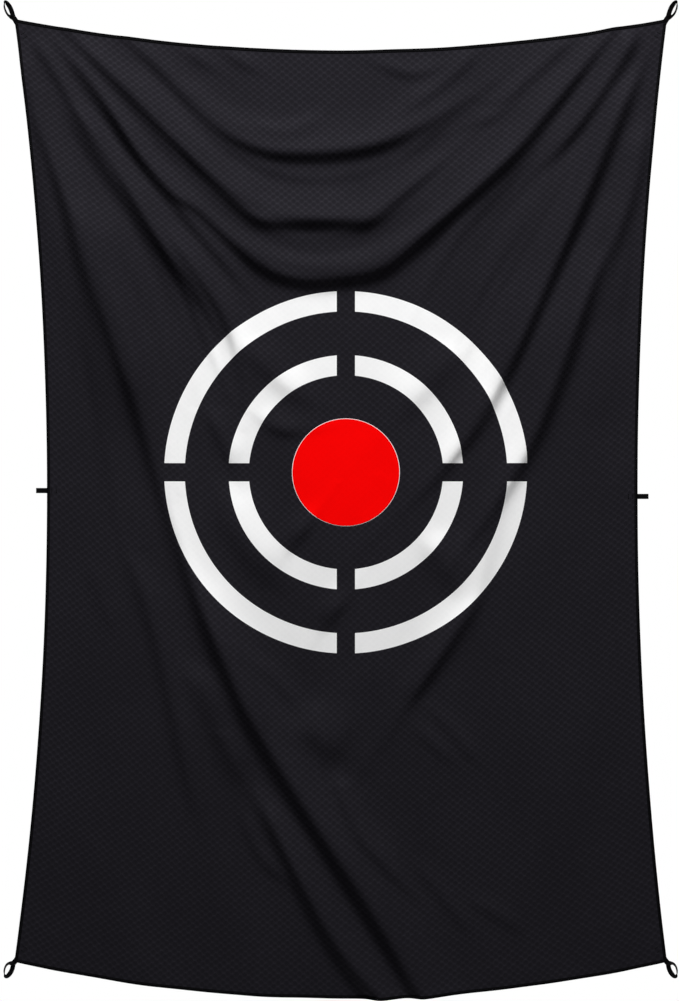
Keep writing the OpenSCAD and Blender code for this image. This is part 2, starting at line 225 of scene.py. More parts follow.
@dataclass(frozen=True)
class Fold:
    """One fold: a roll that swells above its route, with a narrower tuck just below it.

    Attributes:
        height: Height of the roll towards the player, mm.
        roll: Half width of the side above the route, mm.
        tuck: Half width of the side below it, mm.
        route: Points (right of the centre line, below the top corners), mm.
        shares: Shares of the height at even distances along the route.
        grows: Without shares, the parts of the route over which it grows and dies away.
        up: False where the roll swells on the lower side.
    """

    height: float
    roll: float
    tuck: float
    route: tuple[tuple[float, float], ...]
    shares: tuple[float, ...] = ()
    grows: tuple[float, float] = (0.25, 0.25)
    up: bool = True

    STEP = 10.0
    REACH = 2.4
    BLUR = 14.0
    THIN_END = 0.45
    END_SHARE = 0.12

    def share(self, along: np.ndarray) -> np.ndarray:
        """Share of the height at distances along the route, from 0 to 1."""
        if self.shares:
            return np.interp(along, np.linspace(0, 1, len(self.shares)), self.shares)
        found = np.ones_like(along)
        for part, length in zip((along, 1 - along), self.grows):
            if length:
                found = found * eased(part / length + self.END_SHARE)
        return found

    def line(self) -> np.ndarray:
        """The route as a smooth, closely spaced line of (x, below, share) rows."""
        points = np.array(self.route, float)
        padded = np.concatenate([points[:1], points, points[-1:]])
        found = []
        for k in range(len(points) - 1):
            p0, p1, p2, p3 = padded[k : k + 4]
            count = max(1, math.ceil(np.linalg.norm((p2 - p1)[:2]) / self.STEP))
            t = (np.arange(count) / count)[:, None]
            found.append(0.5 * (2 * p1 + (p2 - p0) * t + (2 * p0 - 5 * p1 + 4 * p2 - p3) * t**2
                                + (3 * p1 - p0 - 3 * p2 + p3) * t**3))
        line = np.concatenate(found + [points[-1:]])
        for _ in range(8):
            line[1:-1] = 0.25 * line[:-2] + 0.5 * line[1:-1] + 0.25 * line[2:]
        walked = np.concatenate([[0], np.cumsum(np.linalg.norm(np.diff(line, axis=0), axis=1))])
        return np.column_stack([line, self.share(walked / walked[-1])])

    def lift(self, x: np.ndarray, below: np.ndarray) -> np.ndarray:
        """Height that the fold gives to places of the cloth.

        Args:
            x: Places right of the centre line, mm.
            below: Places below the top corners, mm.

        Returns:
            The lift towards the player at each place, mm.
        """
        line = self.line()
        line, share = line[:, :2], line[:, 2]
        along = unit(np.gradient(line, axis=0))
        side = np.stack([along[:, 1], -along[:, 0]], 1)
        if side[:, 1].mean() > 0:
            side = -side
        if not self.up:
            side = -side
        width = self.THIN_END + (1 - self.THIN_END) * np.minimum(share, 1)
        reach = self.REACH * max(self.roll, self.tuck) + self.STEP
        low, high = line.min(0) - reach, line.max(0) + reach
        near = (x > low[0]) & (x < high[0]) & (below > low[1]) & (below < high[1])
        place = np.stack([x[near], below[near]], 1)
        away = ((place[:, None, :] - line[None]) ** 2).sum(-1)
        nearest = away.min(1, keepdims=True)
        weight = np.exp(-(away - nearest) / self.BLUR**2)
        offset = place @ side.T - (line * side).sum(1)[None] - 0.7 * self.tuck * width
        spread = np.where(offset > 0, self.roll * width, self.tuck * width)
        value = (weight * share * np.exp(-((offset / spread) ** 2))).sum(1) / weight.sum(1)
        lifted = np.zeros_like(x)
        lifted[near] = self.height * value
        return lifted


@dataclass(frozen=True)
class Streaks:
    """Fine streaks of pull that run between two guide routes.

    Attributes:
        first: One guide route, as (x, below) in mm.
        second: The other.
        count: Number of streaks.
        heights: Least and greatest height, mm.
        widths: Least and greatest half width, mm.
        spans: Least and greatest share of the guides' length.
    """

    first: tuple[tuple[float, float], ...]
    second: tuple[tuple[float, float], ...]
    count: int
    heights: tuple[float, float] = (2.0, 4.6)
    widths: tuple[float, float] = (9.0, 15.0)
    spans: tuple[float, float] = (0.35, 0.85)

    POINTS = 14
    SHARES = (0.1, 0.6, 1.0, 0.9, 0.5, 0.1)

    @staticmethod
    def _even(route: Sequence[Sequence[float]], count: int) -> np.ndarray:
        """Places at even distances along a route."""
        points = np.array(route, float)
        steps = np.linalg.norm(np.diff(points, axis=0), axis=1)
        walked = np.concatenate([[0], np.cumsum(steps)])
        even = np.linspace(0, walked[-1], count)
        return np.stack([np.interp(even, walked, points[:, k]) for k in range(2)], 1)

    def folds(self, draw: np.random.Generator) -> list[Fold]:
        """Draws the streaks.

        Args:
            draw: The seeded generator that every streak is drawn from, in order.

        Returns:
            One fold for each streak.
        """
        ends = self._even(self.first, self.POINTS), self._even(self.second, self.POINTS)
        found = []
        for k in range(self.count):
            t = (k + 0.5 + draw.uniform(-0.3, 0.3)) / self.count
            route = (1 - t) * ends[0] + t * ends[1]
            start = draw.uniform(0, 0.35)
            stop = min(1.0, start + draw.uniform(*self.spans))
            part = np.linspace(start, stop, 6) * (self.POINTS - 1)
            places = [np.interp(part, np.arange(self.POINTS), route[:, k2]) for k2 in range(2)]
            found.append(Fold(draw.uniform(*self.heights), 1.25 * draw.uniform(*self.widths),
                              0.75 * draw.uniform(*self.widths), tuple(zip(*places)), self.SHARES))
        return found


# Routes of the folds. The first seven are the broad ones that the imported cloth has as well.
FOLDS = (
    # long diagonal
    Fold(22, 48, 24, ((-473, 150), (-356, 480), (-243, 837), (-166, 1028), (-100, 1151), (41,
         1371), (111, 1492)), (0.15, 0.5, 0.75, 0.8, 0.78, 0.68, 0.58, 0.6, 0.7, 0.85, 0.85,
         0.85, 0.9, 0.85, 0.75)),
    # lower swag
    Fold(16, 44, 20, ((-453, 20), (-273, 259), (-226, 289), (-177, 339), (-115, 388), (-54,
         407), (31, 399), (64, 388), (97, 367), (223, 255), (292, 184), (418, 23)), (0.05, 0.14,
         0.16, 0.2, 0.4, 0.75, 0.85, 0.9, 0.85, 0.8, 0.75, 0.6, 0.4, 0.12)),
    # middle swag
    Fold(14, 40, 18, ((-418, 23), (-216, 235), (-140, 304), (-115, 316), (31, 316), (57, 307),
         (169, 212)), (0.12, 0.5, 0.65, 0.75, 0.85, 1, 1, 0.9, 0.6, 0.12)),
    # upper swag
    Fold(10.5, 38, 18, ((-330, 35), (-282, 75), (-223, 144), (-195, 167), (-120, 207), (34,
         204), (127, 166), (207, 117)), (0.12, 0.45, 0.5, 0.6, 0.85, 0.9, 0.9, 0.8, 0.8, 0.6,
         0.12)),
    # roll beside the diagonal foot
    Fold(17, 32, 18, ((-146, 1179), (-23, 1406), (43, 1494)), (0.1, 0.55, 0.85, 1, 1, 0.95, 0.9)),
    # right fan, inner
    Fold(14, 42, 20, ((468, 71), (258, 545), (170, 682), (104, 752)), (0.12, 0.4, 0.75, 1, 1,
         0.95, 0.85, 0.7, 0.4, 0.12)),
    # right fan, outer
    Fold(14, 44, 21, ((460, 258), (394, 402), (307, 629), (250, 749), (207, 906), (98, 1068)),
         (0.1, 0.4, 0.8, 1, 1, 0.95, 0.8, 0.7, 0.7, 0.65, 0.5, 0.1)),
    # crease of the long diagonal
    Fold(11, 24, 13, ((-473, 150), (-356, 480), (-243, 837), (-166, 1028), (-100, 1151), (41,
         1371), (111, 1492)), (0.1, 0.4, 0.7, 0.75, 0.55, 0.4, 0.35, 0.5, 0.7, 0.6, 0.55, 0.65,
         0.85, 0.85, 0.8)),
    # crease of the lower swag
    Fold(8.5, 17, 10, ((-453, 20), (-273, 259), (-226, 289), (-177, 339), (-115, 388), (-54,
         407), (31, 399), (64, 388), (97, 367), (223, 255), (292, 184), (418, 23)), (0.03, 0.05,
         0.06, 0.1, 0.4, 0.5, 0.5, 0.65, 0.8, 0.9, 0.95, 1.1, 1.2, 0.6)),
    # crease of the middle swag
    Fold(5.5, 15, 9, ((-418, 23), (-216, 235), (-140, 304), (-115, 316), (31, 316), (57, 307),
         (169, 212)), (0.3, 1, 1, 0.9, 0.7, 0.7, 0.9, 1, 0.9, 0.6, 0.15)),
    # crease of the upper swag
    Fold(4.2, 15, 9, ((-322, 40), (-195, 167), (-120, 207), (-84, 212), (34, 203), (127, 166),
         (207, 117)), (0.4, 1, 0.5, 0.4, 0.5, 0.9, 1, 1, 1, 0.8, 0.5, 0.15)),
    # crease of the right fan
    Fold(13.5, 22, 12, ((468, 71), (258, 545), (170, 682), (104, 752)), grows=(0.12, 0.3)),
    # outer crease of the right fan
    Fold(10, 19, 11, ((430, 327), (394, 402), (292, 665), (154, 867)), grows=(0.3, 0.3)),
    # edge crease, top left
    Fold(7, 16, 9.5, ((-494, 3), (-341, 243)), grows=(0.2, 0.5)),
    # edge crease, top right
    Fold(15, 22, 12, ((471, 8), (379, 154), (296, 243)), grows=(0.1, 0.5)),
    # right selvedge fold
    Fold(9, 22, 13, ((474, 150), (460, 239), (410, 399)), grows=(0.2, 0.4)),
    # thin streak
    Fold(8, 16, 10, ((-356, 212), (-292, 327), (-226, 419), (-175, 507)), grows=(0.3, 0.4)),
    # thin streak
    Fold(11, 18, 10, ((-276, 312), (-243, 362), (-209, 414), (-181, 460), (-164, 511), (-154,
         576)), grows=(0.3, 0.4)),
    # thin streak
    Fold(5, 18, 11, ((-427, 112), (-387, 189), (-341, 266), (-292, 339), (-246, 404), (-215,
         454)), grows=(0.2, 0.4)),
    # bright pull
    Fold(7, 13, 34, ((-442, 124), (-393, 192), (-339, 253), (-292, 319), (-241, 393), (-192,
         457)), grows=(0.2, 0.2)),
    # bright pull
    Fold(5, 13, 30, ((-430, 35), (-391, 86), (-345, 143), (-292, 200), (-230, 258)), grows=(0.2,
         0.3)),
    # bright pull
    Fold(6, 13, 32, ((-358, 74), (-307, 135), (-246, 200), (-180, 266), (-130, 293), (-89,
         304)), grows=(0.2, 0.3)),
    # bright pull
    Fold(5, 13, 28, ((-269, 89), (-230, 138), (-177, 178), (-115, 196)), grows=(0.3, 0.3)),
    # thin streak
    Fold(8, 18, 10, ((-315, 196), (-269, 261), (-223, 327), (-177, 381), (-138, 427)),
         grows=(0.3, 0.4)),
    # short tuck
    Fold(3.8, 14, 9, ((-238, 55), (-220, 66), (-200, 78))),
    # short tuck
    Fold(3.8, 14, 9, ((-181, 51), (-161, 69), (-130, 81))),
    # small arc
    Fold(3.8, 15, 9, ((-138, 147), (-100, 166), (-61, 157), (-28, 137)), up=False),
    # right shoulder tuck
    Fold(5, 16, 9.5, ((218, 46), (186, 81), (157, 106), (127, 127), (97, 146))),
    # short tuck
    Fold(4, 14, 9, ((164, 68), (135, 86), (104, 89), (74, 80), (49, 68))),
    # short tuck
    Fold(5.5, 18, 10, ((223, 127), (250, 132), (364, 28))),
    # short tuck
    Fold(3.8, 14, 9, ((103, 212), (138, 184), (169, 158))),
    # short tuck
    Fold(3.8, 14, 9, ((200, 166), (233, 157), (269, 132))),
    # left foot fold
    Fold(9.5, 28, 15, ((-338, 803), (-290, 949), (-233, 1194), (-215, 1240)), grows=(0.3, 0.4)),
    # left foot fold
    Fold(2, 18, 10, ((-391, 834), (-375, 887), (-353, 941))),
    # crease beside the diagonal foot
    Fold(6, 16, 9.5, ((-127, 1197), (-23, 1406), (43, 1494)), grows=(0.15, 0)),
    # foot tuck
    Fold(4, 14, 9, ((-158, 1205), (-149, 1245), (-130, 1282), (-107, 1311), (-80, 1329))),
    # foot tuck
    Fold(3, 13, 9, ((-141, 982), (-107, 1013), (-84, 1041), (-69, 1068))),
    # foot fold, right of the diagonal
    Fold(8, 20, 11.5, ((-15, 1164), (17, 1240), (40, 1274), (123, 1363)), grows=(0.15, 0.5)),
    # foot tuck
    Fold(3, 16, 9.5, ((107, 1294), (138, 1332), (169, 1371), (200, 1409))),
    # foot tuck
    Fold(3, 16, 9.5, ((195, 1355), (230, 1375), (276, 1403))),
    # tuck inside the target
    Fold(10, 22, 11, ((-210, 599), (-190, 645), (-167, 691))),
    # tuck inside the target
    Fold(11, 20, 11, ((-120, 619), (-92, 639), (-61, 635))),
    # tuck inside the target
    Fold(12, 20, 10, ((-40, 768), (-55, 789), (-72, 810))),
    # tuck inside the target
    Fold(12, 20, 10, ((11, 890), (-3, 909), (-18, 929))),
    # swell inside the target
    Fold(14, 40, 28, ((-207, 703), (-181, 777), (-130, 844), (-77, 887)), grows=(0.4, 0.4)),
    # swell inside the target
    Fold(11, 36, 22, ((177, 887), (154, 849), (130, 818), (115, 795)), grows=(0.4, 0.4)),
    # swell inside the target
    Fold(9, 34, 20, ((84, 626), (130, 580), (169, 537), (200, 503)), grows=(0.4, 0.4)),
    # swell inside the target
    Fold(9, 30, 18, ((-166, 496), (-120, 542), (-77, 580), (-34, 596)), grows=(0.4, 0.4)),
    # tuck under the target
    Fold(8.5, 18, 10, ((226, 881), (184, 935), (98, 1068)), grows=(0.3, 0.3)),
    # tuck under the target
    Fold(3, 15, 9.5, ((134, 1059), (164, 1094), (187, 1121), (210, 1145))),
    # tuck under the target
    Fold(3, 15, 9.5, ((112, 1090), (138, 1117), (169, 1145))),
    # billow
    Fold(15, 60, 30, ((-433, 258), (-411, 350), (-396, 427), (-381, 503), (-365, 580), (-353,
         657)), grows=(0.3, 0.4)),
    # billow
    Fold(4, 30, 26, ((418, 457), (414, 519), (410, 580), (404, 642)), grows=(0.4, 0.4)),
    # billow
    Fold(9, 26, 22, ((-253, 990), (-223, 1036), (-196, 1094), (-158, 1187)), grows=(0.3, 0.3)),
    # billow
    Fold(3.5, 24, 20, ((-196, 760), (-158, 826), (-120, 875)), grows=(0.4, 0.4)),
    # billow
    Fold(3, 18, 16, ((-61, 1041), (-43, 1105), (-28, 1164)), grows=(0.3, 0.3)),
    # swell below the target
    Fold(12, 46, 30, ((-84, 1094), (-43, 1110), (8, 1141)), grows=(0.4, 0.4)),
    # shade beside the diagonal
    Fold(6, 26, 24, ((-258, 810), (-230, 887), (-196, 972), (-161, 1056), (-126, 1133)),
         grows=(0.4, 0.3)),
)

# Fans of fine streaks from the two top corners, and between neighbouring swags.
STREAKS = (
    Streaks(((-473, 150), (-430, 285), (-368, 440), (-330, 560), (-285, 700)),
            ((-453, 20), (-399, 86), (-336, 177), (-276, 273), (-215, 368), (-120, 580)), 10,
            heights=(3.4, 7.0), widths=(10.0, 15.0)),
    Streaks(((-453, 20), (-399, 86), (-336, 177), (-276, 273), (-215, 368), (-154, 473)),
            ((-453, 20), (-368, 117), (-293, 239), (-226, 289), (-115, 388)), 5),
    Streaks(((-453, 20), (-273, 259), (-177, 339), (-54, 407), (97, 367), (223, 255), (418, 23)),
            ((-418, 23), (-216, 235), (-115, 316), (31, 316), (169, 212), (276, 127), (384, 20)),
            5, spans=(0.4, 0.8)),
    Streaks(((-418, 23), (-216, 235), (-115, 316), (31, 316), (169, 212)),
            ((-330, 35), (-282, 75), (-195, 167), (-84, 210), (8, 204), (127, 166), (207, 117)),
            4, spans=(0.4, 0.8)),
    Streaks(((418, 23), (348, 115), (292, 184), (223, 255), (158, 309), (123, 368), (92, 427)),
            ((468, 71), (415, 189), (361, 305), (326, 384), (276, 506), (232, 592)), 8,
            heights=(3.0, 6.0), widths=(10.0, 15.0)),
    Streaks(((468, 71), (415, 189), (361, 305), (292, 458), (232, 592)),
            ((430, 327), (393, 408), (350, 527), (307, 629), (226, 762)), 4),
    Streaks(((479, 120), (474, 212), (464, 319), (448, 494), (445, 672)),
            ((430, 327), (393, 408), (350, 527), (307, 629)), 3,
            heights=(2.6, 5.0), widths=(14.0, 22.0)),
    Streaks(((-488, 120), (-476, 243), (-457, 396), (-433, 703), (-421, 857)),
            ((-473, 150), (-390, 400), (-356, 480), (-285, 740)), 4,
            heights=(2.6, 5.0), widths=(14.0, 22.0)),
)


@dataclass(frozen=True)
class HungOutline:
    """Outline of the cloth as it hangs, in metres."""

    width: float = 1.0
    height: float = 1.446
    sag_top: float = 0.048
    sag_bottom: float = 0.056
    bow_left: float = 0.050
    bow_right: float = 0.045
    top_z: float = -(0.036 - 0.0012) * math.cos(math.radians(30))
    strip: float = 0.005

    @staticmethod
    def bow(t: np.ndarray | float) -> np.ndarray | float:
        """Rises from 0 at both ends to 1 half way along."""
        return 4 * t * (1 - t)

    def left(self, v: np.ndarray | float) -> np.ndarray | float:
        """X of the left edge, a share v of the way down."""
        return -self.width / 2 + self.bow_left * self.bow(v)

    def right(self, v: np.ndarray | float) -> np.ndarray | float:
        """X of the right edge, a share v of the way down."""
        return self.width / 2 - self.bow_right * self.bow(v)

    def top(self, u: np.ndarray | float) -> np.ndarray | float:
        """Z of the top edge, a share u of the way across."""
        return self.top_z - self.sag_top * self.bow(u)

    def bottom(self, u: np.ndarray | float) -> np.ndarray | float:
        """Z of the bottom edge, a share u of the way across."""
        return self.top_z - self.height - self.sag_bottom * self.bow(u)


@dataclass
class Drape:
    """The hung sheet as a grid: its outline, its folds and the flat place of each point.

    Attributes:
        outline: The edges of the hung cloth.
        cols: Cells across, the two strips under the edge tape included.
        rows: Cells down, likewise.
        middle_y: Y of the sheet's middle where it hangs flat.
        flat: Width and length of the cut cloth.
        calm: The cloth lies flat this far from where webbing is sewn on, in metres.
        full: From here on its folds have their whole height.
        seed: Seed of the streaks and of the slight unevenness.
        target: Where the pressed film stiffens the cloth: right of the centre line, below the
            top corners, full radius and faded radius, mm.
        stiffened: Share of their height that folds lose there.
        crowded: Lift past which folds on one another press each other flat, mm.
        room: Most that they still rise past it, mm.
    """

    outline: HungOutline = field(default_factory=HungOutline)
    cols: int = 180
    rows: int = 270
    middle_y: float = -2.85 * MM
    flat: tuple[float, float] = (1.000, 1.480)
    calm: float = 0.028
    full: float = 0.078
    seed: int = 7
    target: tuple[float, float, float, float] = (8.0, 695.0, 250.0, 330.0)
    stiffened: float = 0.40
    crowded: float = 26.0
    room: float = 10.0

    def __post_init__(self) -> None:
        """Works out every grid point once."""
        i, j = np.meshgrid(np.arange(self.cols + 1.0), np.arange(self.rows + 1.0), indexing="ij")
        self.x, self.z = self.place(i, j)
        lifted = self.free_lift(self.x, self.z)
        level = [np.arange(n + 1) for n in (self.cols, self.rows)]
        for steps in level:
            steps[1], steps[-2] = steps[0], steps[-1]
        self.lift = lifted[np.ix_(*level)]

    def station(self, index: np.ndarray, count: int, length: np.ndarray | float) -> np.ndarray:
        """Distance of grid line `index` of `count` along a length: a strip, even cells, a strip."""
        strip = self.outline.strip
        even = (length - 2 * strip) / (count - 2)
        inner = strip + (index - 1) * even
        return np.where(index < 1, index * strip,
                        np.where(index > count - 1, length - (count - index) * strip, inner))

    def index_of(self, distance: np.ndarray, count: int, length: np.ndarray | float) -> np.ndarray:
        """Grid line, as a fraction, at a distance along a length."""
        strip = self.outline.strip
        even = (length - 2 * strip) / (count - 2)
        inner = 1 + (distance - strip) / even
        return np.where(inner < 1, distance / strip,
                        np.where(inner > count - 1, count - (length - distance) / strip, inner))

    def place(self, i: np.ndarray, j: np.ndarray) -> tuple[np.ndarray, np.ndarray]:
        """X and Z of grid places i across and j down."""
        o = self.outline
        u = self.station(i, self.cols, o.width) / o.width
        v = self.station(j, self.rows, o.height) / o.height
        x = o.left(v) + self.station(i, self.cols, o.right(v) - o.left(v))
        z = o.top(u) - self.station(j, self.rows, o.top(u) - o.bottom(u))
        return x, z

    def locate(self, x: np.ndarray, z: np.ndarray) -> tuple[np.ndarray, np.ndarray]:
        """Grid place, as fractions, of places seen from the front."""
        o = self.outline
        u, v = x / o.width + 0.5, (o.top_z - z) / o.height
        for _ in range(12):
            i = self.index_of(x - o.left(v), self.cols, o.right(v) - o.left(v))
            u = self.station(i, self.cols, o.width) / o.width
            j = self.index_of(o.top(u) - z, self.rows, o.top(u) - o.bottom(u))
            v = self.station(j, self.rows, o.height) / o.height
        return np.clip(i, 0, self.cols), np.clip(j, 0, self.rows)

    def flat_place(self, i: np.ndarray, j: np.ndarray) -> np.ndarray:
        """Place on the cut cloth, in metres, of grid places."""
        across = self.station(i, self.cols, self.flat[0])
        down = self.station(j, self.rows, self.flat[1])
        return np.stack([across, self.flat[1] - down], -1)

    def free_lift(self, x: np.ndarray, z: np.ndarray) -> np.ndarray:
        """Lift of the folds towards the player, in metres, before the tape levels the edges."""
        o = self.outline
        right, below = x / MM, (o.top_z - z) / MM
        draw = np.random.default_rng(self.seed)
        total = np.zeros_like(x)
        for fold in FOLDS:
            total += fold.lift(right, below)
        for fan in STREAKS:
            for fold in fan.folds(draw):
                total += fold.lift(right, below)
        total += self.unevenness(right, below, draw)
        past = np.maximum(total - self.crowded, 0)
        total = np.minimum(total, self.crowded) + self.room * (1 - np.exp(-past / self.room))
        at_x, at_below, near, far = self.target
        away = np.hypot(right - at_x, below - at_below)
        total *= 1 - self.stiffened * eased((far - away) / (far - near))
        middle = o.top_z - o.height / 2
        sewn = [(a * o.width / 2, o.top_z - b * o.height) for a in (-1, 1) for b in (0, 1)]
        sewn += [(o.left(0.5), middle), (o.right(0.5), middle - 9 * MM)]
        for sewn_x, sewn_z in sewn:
            away = np.hypot(x - sewn_x, z - sewn_z)
            total *= eased((away - self.calm) / (self.full - self.calm))
        return total * MM

    @staticmethod
    def unevenness(x: np.ndarray, below: np.ndarray, draw: np.random.Generator) -> np.ndarray:
        """Slight soft unevenness of the cloth, in mm."""
        total = np.zeros_like(x)
        for _ in range(16):
            angle, length = draw.uniform(-0.5, 0.5), draw.uniform(60, 210)
            turn = 2 * math.pi / length
            phase = draw.uniform(0, 2 * math.pi)
            bent = 12 * np.sin(below / draw.uniform(90, 260) + phase)
            wave = np.sin(turn * ((x + bent) * math.cos(angle) + below * math.sin(angle)) + phase)
            total += length / 210 * 0.42 * wave
        return total

    def lift_at(self, x: np.ndarray, z: np.ndarray) -> np.ndarray:
        """Lift of the finished sheet at places seen from the front, in metres."""
        i, j = self.locate(x, z)
        i0 = np.minimum(i.astype(int), self.cols - 1)
        j0 = np.minimum(j.astype(int), self.rows - 1)
        s, t = i - i0, j - j0
        g = self.lift
        return ((1 - s) * (1 - t) * g[i0, j0] + s * (1 - t) * g[i0 + 1, j0]
                + (1 - s) * t * g[i0, j0 + 1] + s * t * g[i0 + 1, j0 + 1])


# --- finishes -----------------------------------------------------------------------------

Input = bpy.types.NodeSocket | float | tuple[float, ...]


class Graph:
    """A short way to write shader nodes into one node tree."""

    def __init__(self, tree: bpy.types.NodeTree) -> None:
        """Keeps the tree that nodes are added to."""
        self.tree = tree

    def set(self, socket: bpy.types.NodeSocket, value: Input) -> None:
        """Links a socket into another, or writes a plain value on it."""
        if isinstance(value, bpy.types.NodeSocket):
            self.tree.links.new(value, socket)
        else:
            socket.default_value = value

    def node(self, kind: str, inputs: dict[str | int, Input] | None = None,
             **settings: object) -> bpy.types.Node:
        """Adds a node.

        Args:
            kind: Blender's name of the node type.
            inputs: Socket name or place, with a value or the socket that feeds it.
            **settings: Properties of the node.

        Returns:
            The new node.
        """
        made = self.tree.nodes.new(kind)
        for name, value in settings.items():
            setattr(made, name, value)
        for name, value in (inputs or {}).items():
            self.set(made.inputs[name], value)
        return made

    def math(self, operation: str, *values: Input) -> bpy.types.NodeSocket:
        """Adds a Math node and returns its output."""
        return self.node("ShaderNodeMath", dict(enumerate(values)), operation=operation).outputs[0]

    def vector(self, operation: str, *values: Input, out: int = 0) -> bpy.types.NodeSocket:
        """Adds a Vector Math node and returns one of its outputs."""
        made = self.node("ShaderNodeVectorMath", dict(enumerate(values)), operation=operation)
        return made.outputs[out]

    def ramp(self, value: Input, low: float, high: float, start: float = 0.0,
             end: float = 1.0) -> bpy.types.NodeSocket:
        """Maps low..high smoothly to start..end."""
        made = self.node("ShaderNodeMapRange", {0: value, 1: low, 2: high, 3: start, 4: end},
                         interpolation_type="SMOOTHSTEP")
        return made.outputs[0]

    def mix(self, share: Input, first: Input, second: Input) -> bpy.types.NodeSocket:
        """Mixes two colours."""
        made = self.node("ShaderNodeMix", data_type="RGBA")
        for place, value in ((0, share), (6, first), (7, second)):
            self.set(made.inputs[place], value)
        return made.outputs[2]

    def noise(self, vector: Input, scale: float, detail: float = 2.0) -> bpy.types.NodeSocket:
        """Adds a noise texture and returns its value."""
        made = self.node("ShaderNodeTexNoise",
                         {"Vector": vector, "Scale": scale, "Detail": detail, "Roughness": 0.5})
        return made.outputs[0]


def colour(red: float, green: float, blue: float) -> tuple[float, float, float, float]:
    """A linear colour with full alpha."""
    return red, green, blue, 1.0


class Effects:
    """Shader node groups that several finishes use."""

    def __init__(self) -> None:
        """Builds each group once."""
        self.dimples = self._dimples()
        self.weave = self._weave()
        self.mottle = self._mottle()

    @staticmethod
    def _group(name: str, inputs: dict[str, str], outputs: Sequence[str]
               ) -> tuple[bpy.types.NodeTree, Graph, bpy.types.Node, bpy.types.Node]:
        """Makes an empty group with its sockets, and returns it with its in and out nodes."""
        tree = bpy.data.node_groups.new(name, "ShaderNodeTree")
        for title, kind in inputs.items():
            tree.interface.new_socket(title, in_out="INPUT", socket_type=f"NodeSocket{kind}")
        for title in outputs:
            tree.interface.new_socket(title, in_out="OUTPUT", socket_type="NodeSocketFloat")
        graph = Graph(tree)
        return tree, graph, graph.node("NodeGroupInput"), graph.node("NodeGroupOutput")

    def _dimples(self) -> bpy.types.NodeTree:
        """Honeycomb of dimples: a rectangular lattice with one more dimple in each middle.

        Takes the flat place and the lattice's width and height in metres. Dimple is 1 in the
        middle of a dimple and 0 on the ridges between them.
        """
        tree, g, given, out = self._group(
            "honeycomb_dimples", {"Flat": "Vector", "Width": "Float", "Height": "Float"},
            ("Dimple", "Ridge"))
        size = g.node("ShaderNodeCombineXYZ", {0: given.outputs[1], 1: given.outputs[2], 2: 1.0})
        cells = g.vector("DIVIDE", given.outputs[0], size.outputs[0])
        away = []
        for shift in (0.5, 1.0):
            moved = g.vector("ADD", cells, (shift, shift, 0.0))
            local = g.vector("SUBTRACT", g.vector("FRACTION", moved), (0.5, 0.5, 0.5))
            flat = g.vector("MULTIPLY", g.vector("MULTIPLY", local, size.outputs[0]), (1.0, 1.0, 0.0))
            away.append(g.vector("LENGTH", flat, out=1))
        nearest = g.math("DIVIDE", g.math("MINIMUM", *away), given.outputs[2])
        g.set(out.inputs[0], g.ramp(nearest, 0.12, 0.50, 1.0, 0.0))
        g.set(out.inputs[1], g.ramp(nearest, 0.36, 0.52))
        return tree

    def _weave(self) -> bpy.types.NodeTree:
        """Plain weave: Thread is the height of crossing threads, 0 to 1, at the given pitch."""
        tree, g, given, out = self._group(
            "plain_weave", {"Flat": "Vector", "Pitch": "Float"}, ("Thread",))
        turns = g.node("ShaderNodeSeparateXYZ", {0: given.outputs[0]})
        waves = [g.math("SINE", g.math("MULTIPLY", math.pi,
                                       g.math("DIVIDE", turns.outputs[k], given.outputs[1])))
                 for k in (0, 1)]
        crossed = g.math("MULTIPLY", *waves)
        g.set(out.inputs[0], g.math("MULTIPLY_ADD", crossed, 0.5, 0.5))
        return tree

    def _mottle(self) -> bpy.types.NodeTree:
        """Soft unevenness of dye and pressing, from 0 to 1, round patches of about 1/Scale."""
        tree, g, given, out = self._group(
            "uneven_dye", {"Place": "Vector", "Scale": "Float"}, ("Uneven",))
        noise = g.node("ShaderNodeTexNoise", {"Vector": given.outputs[0], "Scale": given.outputs[1],
                                              "Detail": 3.0, "Roughness": 0.55})
        g.set(out.inputs[0], g.ramp(noise.outputs[0], 0.32, 0.68))
        return tree


@dataclass(frozen=True)
class Finish:
    """What every finish shares: its name and the plain values of its surface."""

    name: str
    roughness: float
    specular: float = 0.3
    sheen: float = 0.0
    sheen_roughness: float = 0.5
    sheen_tint: tuple[float, float, float, float] = (1.0, 1.0, 1.0, 1.0)

    def start(self) -> tuple[bpy.types.Material, Graph, bpy.types.Node]:
        """Makes the material with its Principled shader, and writes the plain values on it."""
        material = bpy.data.materials.new(self.name)
        material.use_nodes = True
        graph = Graph(material.node_tree)
        shader = next(n for n in material.node_tree.nodes if n.type == "BSDF_PRINCIPLED")
        shader.inputs["Roughness"].default_value = self.roughness
        shader.inputs["Specular IOR Level"].default_value = self.specular
        shader.inputs["Sheen Weight"].default_value = self.sheen
        shader.inputs["Sheen Roughness"].default_value = self.sheen_roughness
        shader.inputs["Sheen Tint"].default_value = self.sheen_tint
        return material, graph, shader

    @staticmethod
    def bump(graph: Graph, shader: bpy.types.Node, height: Input, depth: float) -> None:
        """Feeds a height of 0 to 1, worth `depth` metres, to the shader's normal."""
        made = graph.node("ShaderNodeBump", {"Height": height, "Distance": depth, "Strength": 1.0})
        graph.set(shader.inputs["Normal"], made.outputs[0])


